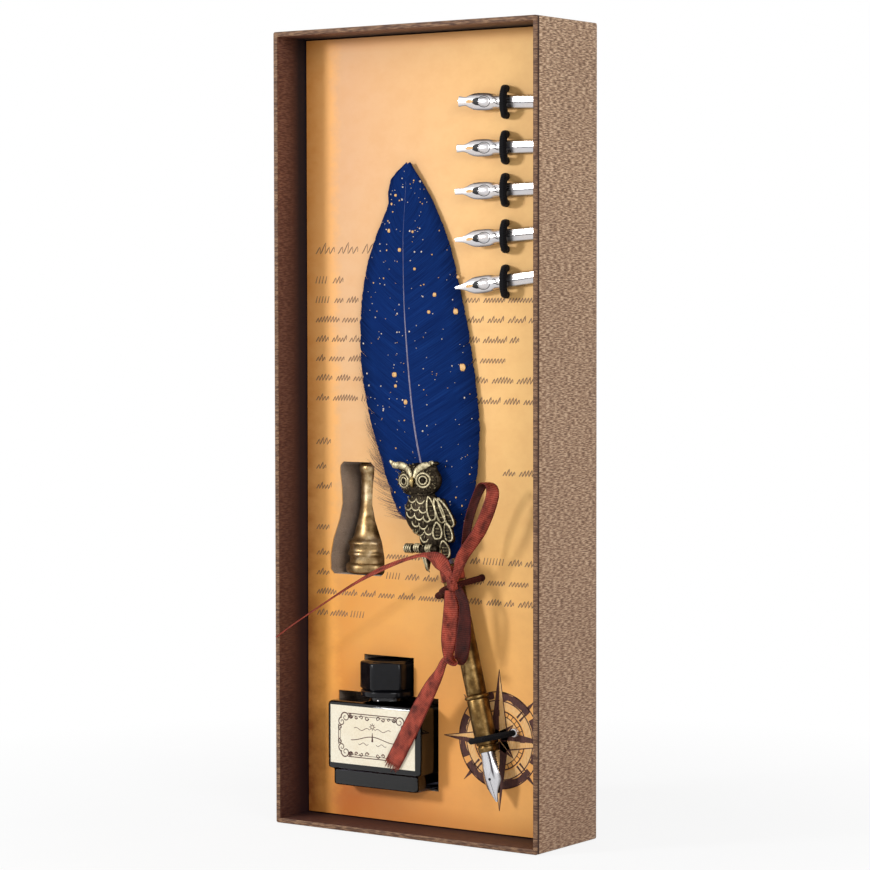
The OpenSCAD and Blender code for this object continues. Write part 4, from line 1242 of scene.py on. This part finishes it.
# Outline of the vane as (z, x), seen at 5 mm over the card
SEEN_HEIGHT = 5
EDGES = {-1: [(104, 10.5), (108, 8), (112.5, 0), (116.7, -6.9), (119.6, -10.7), (127.8, -14.5),
              (138.5, -18.2), (149.5, -22.1), (159, -25), (168.4, -27), (179.5, -28.2), (190.6, -28.3),
              (200.2, -27.4),
              (211.1, -25.3), (218.2, -22.8), (226, -19.4), (232, -16.2), (235.3, -14.9), (240, -15),
              (243.9, -14), (247, -11), (250.4, -6.4)],
         1: [(101, 15), (103.3, 17.3), (111, 19.8), (120.1, 21.8), (134.3, 25.2), (143.5, 25.8),
             (151.5, 26.3), (161.5, 25.4), (171.6, 24), (183, 22.1), (192.3, 20.3), (201.6, 17.9),
             (210.8, 15.6), (220.1, 12.8), (228.7, 9), (237.4, 4.3), (243.6, 0), (248.7, -3.9), (250.4, -5)]}
# Shift in x for each millimetre of height, along the camera's line of sight
VIEW_SHIFT = 0.7
VANE_THICK = 0.3
VANE_COLUMNS = 12
TIP_Z = 250.0

QUILL_LINE = flowing([Vector((BARREL_END[0] + x, h, BARREL_END[1] + share * FEATHER_LENGTH))
                      for x, h, share in QUILL_SHAPE], 6)
QUILL_X = [(p.z, p.x) for p in QUILL_LINE]
QUILL_H = [(p.z, p.y) for p in QUILL_LINE]
EDGE_H = {side: [(p.z, h) for p, h in zip(QUILL_LINE, flowing_values(heights, 6))]
          for side, heights in EDGE_HEIGHTS.items()}


def vane_edge(side, z):
    """Edge of the vane at height z: its x and its height over the card."""
    h = look_up(EDGE_H[side], z)
    return look_up(EDGES[side], z) - VIEW_SHIFT * (SEEN_HEIGHT - h), h


def vane_place(side, z, u, reach=1.0):
    """Point of the vane at height z, from the quill at u = 0 to the edge at u = 1."""
    edge, edge_h = vane_edge(side, z)
    x0, h0 = look_up(QUILL_X, z), look_up(QUILL_H, z)
    crown = 0.75 * sin(pi * min(u, 1.0) ** 0.8) * min((TIP_Z + 1 - z) / 30, 1.0)
    return x0 + (edge - x0) * u * reach, mix(h0, edge_h, u) + crown


def barb_rise(side, z):
    """How far up a barb has run by the time it reaches the edge."""
    low = 2 + (z - 103) * 0.5 if side > 0 else 9 + (z - 107) * 0.3
    return max(min(low, 15.0, (TIP_Z + 0.5 - z) * 0.92), 0.1)


def add_lock(build, draw, side, z, top):
    """One lock of barbs, ragged along the edge and parted from its neighbours there."""
    count = max(int((top - z) / 0.5), 3)
    lift = draw.uniform(-0.1, 0.12)
    part = draw.uniform(0.02, 0.16)
    rows, marks = [], []
    for i in range(count + 1):
        z0 = mix(z, top, i / count)
        near = min(i, count - i) / count * (top - z)
        ragged = 1 + draw.uniform(-1, 1) * (0.006 + 0.05 * smooth_step((z0 + 10 - 240) / 8))
        ragged -= 0.012 * exp(-(near / 0.7) ** 2)
        away = (part if i < count / 2 else -part) * max(1 - near / 1.6, 0.0)
        row = []
        for j in range(VANE_COLUMNS + 1):
            u = j / VANE_COLUMNS
            here = z0 + barb_rise(side, z0) * u ** 1.12 + away * smooth_step((u - 0.72) / 0.28)
            here = min(here, TIP_Z + 0.3)
            x, h = vane_place(side, here, u, mix(1.0, ragged, u ** 3))
            row.append(at(x, h + (lift * u + 0.1 * sin(0.8 * z0 + 5 * u) * u), here))
            marks.append((z0, u))
        rows.append(row)
    lay = INWARD * VANE_THICK / 2
    build.slab([[p - lay for p in row] for row in rows], [[p + lay for p in row] for row in rows], 0, marks)


def make_vane(side, name, node, low):
    """Vane of barbs that lag upward, in locks that part at the edge."""
    draw = random.Random(31 + side)
    build = Build()
    z, last = low, TIP_Z - 0.4
    while z < last:
        top = min(z + draw.uniform(5.0, 15.0) * (0.35 if z > 228 else 1.0), last)
        if last - top < 1.5:
            top = last
        add_lock(build, draw, side, z, top)
        z = top
    settle(build.piece(name, [FEATHER], sharp=70), "pen", "feather", node)


def make_quill_shaft():
    build = Build()
    foot = on_pen(0, 0, QUILL_FOOT)
    end = at(BARREL_END[0], QUILL_SHAPE[0][1], BARREL_END[1])
    line = [foot, mix(foot, end, 0.5)] + [at(*p) for p in QUILL_LINE]
    build.tube(line, [QUILL_RADII[0]] * 2 + flowing_values(QUILL_RADII, 6), sides=14)
    settle(build.piece("quill_shaft", [QUILL]), "pen", "quill", "feather_quill")


def make_down_strands():
    """Loose strands of down along the lower left edge and between the barbs."""
    build = Build()
    draw = random.Random(8)
    reaches = [(116, 12), (135, 11), (150, 7.0), (175, 3.6), (205, 2.0)]
    slopes = [(116, 0.12), (130, 0.35), (142, 0.9), (205, 2.2)]
    for k in range(230):
        z = draw.uniform(117, 150 if k % 3 else 205)
        x, h = vane_place(-1, z, 0.93)
        reach = look_up(reaches, z) * draw.uniform(0.45, 1.0)
        rise = reach * look_up(slopes, z) * draw.uniform(0.7, 1.3)
        sag = draw.uniform(0.5, 1.2)
        points = [at(x, h, z), at(x - reach * 0.5, max(h - 0.6 * sag, 0.6), z + rise * 0.35),
                  at(x - reach, max(h - 1.6 * sag, 0.5), z + rise)]
        build.tube(flowing(points, 4), [0.055 - 0.004 * i for i in range(9)], sides=4)
    settle(build.piece("down_strands", [DOWN]), "pen", "feather")


# Larger splashes of gold paint: x, z and size
SPLASHES = [(16.6, 174.2, 1.5), (13.5, 194.8, 1.15), (2.4, 194.6, 0.75), (4.7, 201.0, 0.85),
            (-12.2, 171.2, 1.1), (-11.5, 167.0, 0.65), (-6.5, 161.1, 0.85), (-11.1, 217.7, 0.75),
            (-16.1, 224.9, 0.7),
            (-13.4, 238.1, 0.6), (-15.3, 234.9, 0.55), (-4.1, 210.6, 0.6), (-5.2, 224.4, 0.5),
            (14.3, 207.5, 0.7)]
DROP_SIZES = (0.13, 0.15, 0.17, 0.2, 0.26, 0.34)
DROP_COUNT = 240


def make_splashes():
    build = Build()
    draw = random.Random(77)
    drops = [(x, z, r, 0) for x, z, r in SPLASHES]
    while len(drops) < DROP_COUNT:
        z = draw.uniform(116, 247)
        side = draw.choice((-1, 1))
        x = vane_place(side, z, draw.uniform(0.06, 0.93))[0]
        drops.append((x, z, draw.choice(DROP_SIZES), draw.choice((0, 1, 1, 1))))
    for x, z, r, kind in drops:
        x0 = look_up(QUILL_X, z)
        side = 1 if x > x0 else -1
        u = min(abs((x - x0) / (vane_edge(side, z)[0] - x0)), 0.97)
        h = vane_place(side, z, u)[1] + VANE_THICK / 2 + 0.05
        stretch = draw.uniform(0.9, 1.3)
        build.ball(at(x, h, z), (r, 0.22, r * stretch), kind, 5, 9 if r < 0.5 else 20)
    settle(build.piece("paint_splashes", [GOLD_FLAKE, PALE_FLAKE]), "pen", "feather")


make_vane(-1, "vane_left", "feather_vane_left", 107.0)
make_vane(1, "vane_right", "feather_vane_right", 103.0)
make_quill_shaft()
make_down_strands()
make_splashes()


# Owl casting: masses as (x, height, z) and half axes, with relief laid on their surface
OWL_BACK = 8.45
# Wing feathers: top x and z, foot x and z, width, and the height they are seen at
WING = [(8.3, 126.5, 10.4, 118.1, 3.5, 12.2), (11.1, 126, 15.0, 117.3, 3.2, 12.2),
        (12.7, 126, 19.2, 116.0, 3.2, 12.2), (12.1, 117.2, 12.6, 111.2, 3.9, 12.2),
        (16.2, 116.9, 18, 110.6, 3.4, 12.2), (14.1, 110.4, 15.6, 104.3, 4.2, 11.2)]
OWL_MASSES = [((2.4, 8.6, 132.6), (9.6, 4.3, 6.4)), ((3.8, 8.5, 120.4), (8.5, 3.8, 8.6)),
              ((7.4, 8.6, 111.2), (5.4, 3.1, 5.4)), ((10.0, 8.5, 121.0), (3.9, 2.7, 5.0)),
              ((5.4, 8.5, 102.8), (1.3, 1.7, 4.2)), ((-4.2, 8.7, 136.8), (3.8, 2.2, 1.5)),
              ((6.4, 8.7, 136.9), (3.6, 2.2, 1.5)), ((-8.2, 8.9, 138.2), (1.6, 1.5, 0.8)),
              ((9.4, 8.9, 138.9), (1.5, 1.5, 0.8))]
OWL_MASSES += [((mix(x0, x1, share) - 1.3, 8.6, mix(z0, z1, share)), (wide * 0.44, 1.7, wide * 0.52))
               for x0, z0, x1, z1, wide, seen in WING for share in (0.15, 0.32, 0.5, 0.68, 0.86)]
# Face and its eyes: x, z and half axes
FACE = (3.4, 132.6, 9.6, 6.2)
EYES = ((-2.5, 132.1, 2.0, 2.35), (6.2, 132.7, 3.05, 2.55))
BROWS = ([(1.2, 133.4), (0.9, 134.8), (-0.1, 136.3), (-1.9, 137.5), (-4.3, 137.8), (-6.4, 137.8),
          (-8.6, 139.3)],
         [(2.6, 133.4), (3.0, 134.8), (4.0, 136.3), (5.9, 137.5), (8.0, 138.0), (9.9, 138.5), (11.2, 139.6)])
BROW_RADII = [(0, 0.5), (0.3, 1.15), (0.6, 1.45), (0.85, 1.2), (1, 0.35)]
# Beak's line: x, z and lift over the face
BEAK = ((1.3, 134.0, 0.2), (1.35, 132.6, 0.7), (1.45, 131.2, 0.8), (1.5, 129.8, 0.2))
# Breast scales: x, z and width
SCALES = ((1.2, 124.3, 3.8), (5.0, 124.0, 3.8), (-0.6, 121.4, 3.0), (2.8, 121.4, 4.2), (6.2, 120.6, 4.0),
          (0.6, 118.6, 3.8), (4.4, 118.0, 4.4), (8.0, 117.4, 3.6), (2.9, 115.4, 3.6), (6.2, 114.6, 4.2),
          (2.7, 112.8, 2.4), (4.6, 112.0, 4.2), (8.6, 112.6, 3.8), (6.8, 109.8, 3.6))


def owl_skin(x, z):
    """Height of the casting's front over the card."""
    best = OWL_BACK
    for (cx, ch, cz), (rx, rh, rz) in OWL_MASSES:
        inside = 1 - ((x - cx) / rx) ** 2 - ((z - cz) / rz) ** 2
        if inside > 0:
            best = max(best, ch + rh * sqrt(inside))
    return best


def on_owl(x, z, lift=0.1, seen=12.6):
    """Point on the casting that is seen at x and z, as measured at one height."""
    h = 12.0
    for _ in range(24):
        h = mix(h, owl_skin(x - VIEW_SHIFT * (seen - h), z), 0.35)
    return at(x - VIEW_SHIFT * (seen - h), h + lift, z)


def relief(build, points, radii, kind=1, seen=12.6, steps=4, lift=0.1, closed=False):
    """Round ridge on the casting through points that are seen at x and z."""
    line = flowing([Vector((x, 0, z)) for x, z in points], steps)
    if closed:
        line = line[:-1]
    if isinstance(radii, list):
        table = [(k / (len(radii) - 1), r) for k, r in enumerate(radii)]
        radii = [look_up(table, i / (len(line) - 1)) for i in range(len(line))]
    build.tube([on_owl(p.x, p.z, lift, seen) for p in line], radii, kind, 8, closed=closed)


def oval(x, z, a, b):
    turns = [2 * pi * k / 20 for k in range(21)]
    return [(x + a * cos(t), z + b * sin(t)) for t in turns]


def drop_outline(x0, z0, x1, z1, width):
    """Long loop from a pointed top to a round foot."""
    axis = Vector((x1 - x0, z1 - z0))
    across = Vector((-axis.y, axis.x)).normalized()
    half = [0.12, 0.5, 0.74, 0.9, 0.99, 1.0, 0.9, 0.6]
    left, right = [], []
    for k, share in enumerate(half):
        centre = Vector((x0, z0)) + axis * (k / (len(half) - 1)) * 0.97
        left.append(tuple(centre + across * share * width / 2))
        right.append(tuple(centre - across * share * width / 2))
    return left + [(x1, z1)] + right[::-1] + [left[0]]


def make_casting():
    """The owl's masses melted into one skin with a flat back."""
    base = Build()
    for centre, radii in OWL_MASSES:
        base.ball(at(*centre), radii, 0, 18, 32)
    for point in base.points:
        point.y = min(point.y, CARD_Y - OWL_BACK)
    casting = base.piece("owl_casting", [OWL_DARK], sharp=50)
    melt = casting.modifiers.new("melt", "REMESH")
    melt.mode = "VOXEL"
    melt.voxel_size = 0.3 * MM
    casting.modifiers.new("smooth", "SMOOTH").iterations = 3
    bpy.context.view_layer.update()
    graph = bpy.context.evaluated_depsgraph_get()
    mesh = bpy.data.meshes.new_from_object(casting.evaluated_get(graph), depsgraph=graph)
    name = casting.data.name
    casting.modifiers.clear()
    casting.data = mesh
    mesh.name = name
    mesh.polygons.foreach_set("use_smooth", [True] * len(mesh.polygons))
    return casting


def add_face(build):
    """Eyes with pupils and rays, brows and beak."""
    for x, z, a, b in EYES:
        relief(build, oval(x, z, a, b), 0.42, closed=True, steps=2)
        relief(build, oval(x, z, a * 0.58, b * 0.58), 0.3, closed=True, steps=2, lift=0.3)
        build.ball(on_owl(x, z, 0.35), (0.6 * a * 0.5, 0.6, 0.6 * b * 0.45), 0, 8, 14)
        for t in circle(16):
            line = [(x + s * a * cos(t), z + s * b * sin(t)) for s in (1.2, 1.38, 1.56)]
            relief(build, line, [0.14, 0.24, 0.12], kind=3, steps=2, lift=-0.05)
    for points in BROWS:
        line = flowing([Vector((x, 0, z)) for x, z in points], 8)
        radii = [look_up(BROW_RADII, i / (len(line) - 1)) for i in range(len(line))]
        build.tube([on_owl(p.x, p.z, 0.3, 13.2) for p in line], radii, 1, 10, flat=0.45)
    beak = [on_owl(*row) for row in BEAK]
    build.tube(flowing(beak, 4), flowing_values([0.5, 0.85, 0.75, 0.15], 4), 2, 10)
    relief(build, [(-3.4, 128.8), (-1.6, 127.4), (1.4, 126.9), (5, 127.2), (8.6, 127.4), (11, 128.6)],
           [0.2, 0.4, 0.45, 0.45, 0.4, 0.2], 0)


def add_stipple(build):
    """Small dots round the face."""
    draw = random.Random(12)
    x0, z0, a, b = FACE
    for _ in range(90):
        t, r = draw.uniform(0, 2 * pi), draw.uniform(0.72, 0.98)
        x, z = x0 + a * r * cos(t), z0 + b * r * sin(t)
        build.ball(on_owl(x, z, 0.0), (0.28, 0.26, 0.36), draw.choice((0, 0, 3)), 5, 7)


def add_plumage(build):
    """Scales on the breast, the wing's feathers and the tail."""
    for x, z, w in SCALES:
        arc = [(x + w / 2 * cos(a), z + w * 0.6 + w * 0.6 * sin(a))
               for a in (radians(v) for v in range(185, 356, 19))]
        relief(build, arc, [0.14, 0.32, 0.38, 0.32, 0.14])
        relief(build, [(x, z + w * 0.7), (x, z + w * 0.4)], [0.2, 0.3], kind=3, steps=2)
    for x0, z0, x1, z1, w, seen in WING:
        relief(build, drop_outline(x0, z0, x1, z1, w), 0.36, seen=seen, steps=3, closed=True, lift=0.25)
        for share in (0.4, 0.6, 0.8):
            x, z = mix(x0, x1, share), mix(z0, z1, share)
            line = [(x - w * 0.26, z), (x, z + 0.1), (x + w * 0.26, z)]
            relief(build, line, [0.2, 0.26, 0.2], kind=3, seen=seen, steps=2)
    for line, radii in (([(7.3, 108.4), (6.0, 104.7), (6.9, 101.0), (8.0, 98.3)], [0.3, 0.5, 0.45, 0.12]),
                        ([(5.0, 108.4), (4.5, 105.4), (5.7, 102.2), (7.4, 98.8)], [0.25, 0.4, 0.35, 0.12])):
        relief(build, line, radii, seen=11.2)


def make_owl():
    casting = make_casting()
    build = Build()
    add_face(build)
    add_stipple(build)
    add_plumage(build)
    settle(casting, "pen", "owl_metal", "owl_charm")
    settle(build.piece("owl_relief", [OWL_DARK, OWL_LIGHT, OWL_BRASS, OWL_MID]), "pen", "owl_metal")


PERCH = at(3.8, 10.25, 107.1)
PERCH_RINGS = (-7.0, -6.1, -5.2, -4.3, 3.3, 4.0)
CLAWS_X = (2.2, 3.1, 4.0, 7.4, 8.3, 9.2)
# A claw's line: how far left of its x, height and z
CLAW = ((0.5, 11.0, 109.0), (0.6, 12.0, 108.2), (0.6, 12.15, 107.0), (0.5, 11.6, 106.0))


def make_perch():
    """Ribbed bar under the owl, with rings and the claws that hold it."""
    build = Build()
    profile = [(0.05, -7.5), (1.2, -7.5)]
    profile += [(1.45 + 0.16 * sin(s * 5.2), s) for s in (mix(-7.3, 7.1, k / 90) for k in range(91))]
    profile += [(1.2, 7.3), (0.05, 7.3)]
    build.lathe(profile, PERCH, RIGHTWARD, UPWARD, 28)
    for x in PERCH_RINGS:
        ring = [PERCH + Vector((x, 1.6 * cos(a), 1.6 * sin(a))) for a in circle(24)]
        build.tube(ring, 0.28, 1, 6, hint=RIGHTWARD, closed=True)
    for x in CLAWS_X:
        claw = [at(x - left, h, z) for left, h, z in CLAW]
        build.tube(flowing(claw, 4), flowing_values([0.4, 0.42, 0.36, 0.12], 4), 1, 8)
    settle(build.piece("owl_perch", [OWL_DARK, OWL_LIGHT], sharp=60), "pen", "owl_metal")


make_owl()
make_perch()


# Spare nibs, in a frame of a from the tip, b across and c away from the card
SHEET_TOP = NIB_R + 0.02
# Dark patch on the crest, painted shade for the breather heart, and the inlay on it, as (a, b)
HEART_SHADE = [(7.0, 0), (7.6, 0.8), (8.8, 1.35), (10.6, 1.5), (9.6, 0.75), (10.2, 0.3), (9.2, 0.0), (10.2, -0.3),
         (9.6, -0.75), (10.6, -1.5), (8.8, -1.35), (7.6, -0.8)]
INLAY = [(4.7, 0.3), (5.2, 0.55), (6.4, 0.6), (7.4, 0.35), (7.8, 0), (7.4, -0.35), (6.4, -0.6), (5.2, -0.55),
         (4.7, -0.3)]
BOSS_A = 12.1
# Dents on the shank, drawn as raised dark lines of painted shade: b, and a from and to
DENT_SHADES = ((0.9, 15.6, 18.2), (-0.7, 15.9, 18.8), (0.1, 16.4, 18.4))


def on_spare(i, a, b, c):
    turn = radians(NIB_TURNS[i])
    x = a * cos(NIB_RISE) + c * sin(NIB_RISE)
    up = -a * sin(NIB_RISE) + c * cos(NIB_RISE)
    rise = 0.3 + NIB_LENGTH * sin(NIB_RISE)
    return at(NIB_X + x * cos(turn) - b * sin(turn), rise + up, NIB_ROWS[i] + x * sin(turn) + b * cos(turn))


def spare_bend(a):
    """Radius of the nib's arch, which is tighter along the shank."""
    return mix(4.2, SHEET_TOP, smooth_step((a - 13.5) / 2.5))


def spare_section(a, half, sheet):
    """Across a nib: an arch towards the tip, a roof with a ridge along the shank."""
    roof = smooth_step((a - 15) / 6)
    bend = spare_bend(a)
    r = NIB_R - sheet
    top = asin(min(half / bend, 1.0))
    points = []
    for k in range(NIB_COLUMNS + 1):
        share = 2 * k / NIB_COLUMNS - 1
        angle = share * top
        arch_b = (bend - sheet) * sin(angle)
        arch_c = NIB_R - bend + (bend - sheet) * cos(angle)
        roof_b = share * (r - 0.05)
        roof_c = r + look_up([(-1, 0.1 - r), (-0.86, -1.0), (-0.12, 0.0), (0.8, -0.22), (1, 0.1 - r)], share)
        points.append((mix(arch_b, roof_b, roof), mix(arch_c, roof_c, roof)))
    return points


def on_crest(i, a, b, lift):
    """Point on the nib's upper side."""
    bend = spare_bend(a)
    return on_spare(i, a, b, NIB_R - bend + sqrt(max(bend ** 2 - b * b, 0.0)) + lift)


def add_patch(build, i, outline, middle, lift, kind):
    """Thin plate on the crest, fanned out from its middle."""
    corners = outline + [(middle, 0)]
    points = [on_crest(i, a, b, height) for height in (lift, -0.1) for a, b in corners]
    count = len(outline)
    faces = [(k, (k + 1) % count, count) for k in range(count)]
    faces += [(count + 1 + (k + 1) % count, count + 1 + k, 2 * count + 1) for k in range(count)]
    faces += [((k + 1) % count, k, count + 1 + k, count + 1 + (k + 1) % count) for k in range(count)]
    build.add(points, faces, kind)


def add_boss(build, i):
    """Oval swelling where the shank begins, with a raised dark rim as painted shade round its edge."""
    boss = []
    for k in range(9):
        t = k / 8 * pi / 2
        boss.append([on_crest(i, BOSS_A + 2.4 * cos(a) * cos(t), 1.75 * sin(a) * cos(t), -0.15 + 0.5 * sin(t))
                     for a in circle(24)])
    build.rings(boss)
    # Painted shade: the boss's rim is a dark ring
    rim = [on_crest(i, BOSS_A + 2.65 * cos(a), 2.0 * sin(a), 0.0) for a in circle(28)]
    build.tube(rim, 0.14, 1, 6, closed=True)


def make_spare(i):
    tip, start = NIB_POINTS[i] / 2, NIB_STARTS[i]
    outline = [(0, tip), (start + 0.6, tip), (3.4, max(tip * 0.86, 1.1)), (4.6, 1.6), (6.0, 2.4), (7.4, 2.95),
               (9, 3.15), (12.6, 3.15), (14.6, 2.9), (16.6, 2.7), (18.5, 2.58), (37, 2.58)]
    build = Build()
    front, back, marks = [], [], []
    for k in range(101):
        a = mix(start, NIB_LENGTH, k / 100)
        half = look_up(outline, a)
        marks += [(a, 2 * j / NIB_COLUMNS - 1) for j in range(NIB_COLUMNS + 1)]
        for grid, sheet in ((front, 0.0), (back, NIB_SHEET)):
            grid.append([on_spare(i, a, b, c) for b, c in spare_section(a, half, sheet)])
    build.slab(front, back, 0, marks)
    # Painted shade: the slit is a dark line on the steel
    slit = [on_spare(i, a, 0, SHEET_TOP) for a in (start + 0.3, 2.6, 4, 5.8)]
    build.tube(slit, [0.05, 0.05, 0.06, 0.08], 1, 6)
    # Painted shade: the breather heart is a dark plate
    add_patch(build, i, HEART_SHADE, 8.4, 0.08, 1)
    add_patch(build, i, INLAY, 6.2, 0.12, 2)
    add_boss(build, i)
    # Painted shade: each dent is a dark line
    for b, a0, a1 in DENT_SHADES:
        dent_shade = [on_crest(i, mix(a0, a1, k / 4), b + 0.35 * sin(k * 1.4), -0.02) for k in range(5)]
        build.tube(flowing(dent_shade, 3), flowing_values([0.04, 0.16, 0.2, 0.14, 0.04], 3), 1, 6)
    settle(build.piece("spare_sheet_" + str(i + 1), [SPARE_STEEL, FEED, GOLD_FLAKE], sharp=45),
           "spare_" + str(i + 1), "nib_steel", "spare_nib_" + str(i + 1))


for number in range(5):
    make_spare(number)


# Floor, lamps and surroundings
WHITE = (1, 1, 1, 1)
FLOOR_HALF = 4000
FLOOR_Z = -0.3
FILL_STRENGTH = 0.42


def add_floor():
    """Floor that looks white to the camera, in reflections and through glass, and takes soft shadows."""
    paint = grained("floor", 0.02, 2.0, 0.5, (238, 238, 238), (244, 244, 244), rough=0.9)
    rays = paint.node("LightPath").outputs
    seen = paint.math("MAXIMUM", rays["Is Camera Ray"], rays["Is Glossy Ray"])
    seen = paint.math("MAXIMUM", seen, rays["Is Transmission Ray"])
    white = paint.node("Emission", {"Color": WHITE, "Strength": 1.0})
    far = paint.node("VectorMath", {0: paint.scaled()}, operation="LENGTH").outputs["Value"]
    share = paint.times(seen, paint.spread(far, 120.0, 320.0, 0.86, 1.0))
    both = paint.node("MixShader", {"Fac": share, 1: paint.shader.outputs[0], 2: white.outputs[0]})
    paint.feed(paint.tree.nodes["Material Output"].inputs["Surface"], both.outputs[0])
    build = Build()
    ends = (-FLOOR_HALF, FLOOR_HALF)
    build.sheet([[Vector((x, y, FLOOR_Z)) for x in ends] for y in ends], Vector((0, 0, -2)))
    build.piece("floor", [paint.finished()], smooth=False)


def add_lamp(name, place, target, size, power):
    data = bpy.data.lights.new(name, "AREA")
    data.shape = "DISK"
    data.size = size
    data.energy = power
    lamp = bpy.data.objects.new(name, data)
    lamp.location = place
    lamp.rotation_euler = (Vector(target) - Vector(place)).to_track_quat("-Z", "Y").to_euler()
    bpy.context.scene.collection.objects.link(lamp)


def add_surroundings():
    """White where the camera, reflections and glass look, a softer fill for everything else."""
    world = bpy.data.worlds.new("surroundings")
    bpy.context.scene.world = world
    world.use_nodes = True
    tree = world.node_tree
    tree.nodes.clear()
    rays, white, fill, first, second, chooser, output = (
        tree.nodes.new("ShaderNode" + kind)
        for kind in ("LightPath", "Background", "Background", "Math", "Math", "MixShader", "OutputWorld"))
    first.operation = second.operation = "MAXIMUM"
    white.inputs["Color"].default_value = WHITE
    fill.inputs["Color"].default_value = WHITE
    fill.inputs["Strength"].default_value = FILL_STRENGTH
    for start, end in ((rays.outputs["Is Camera Ray"], first.inputs[0]),
                       (rays.outputs["Is Glossy Ray"], first.inputs[1]),
                       (first.outputs[0], second.inputs[0]),
                       (rays.outputs["Is Transmission Ray"], second.inputs[1]),
                       (second.outputs[0], chooser.inputs["Fac"]),
                       (fill.outputs[0], chooser.inputs[1]),
                       (white.outputs[0], chooser.inputs[2]),
                       (chooser.outputs[0], output.inputs["Surface"])):
        tree.links.new(start, end)


add_floor()
add_surroundings()
add_lamp("key", (-0.55, -0.85, 0.42), (0.0, 0.0, 0.15), 0.2, 5.8)
add_lamp("side", (0.75, -0.5, 0.5), (0.06, 0, 0.15), 0.5, 3.3)
bpy.context.scene.view_settings.view_transform = "Standard"
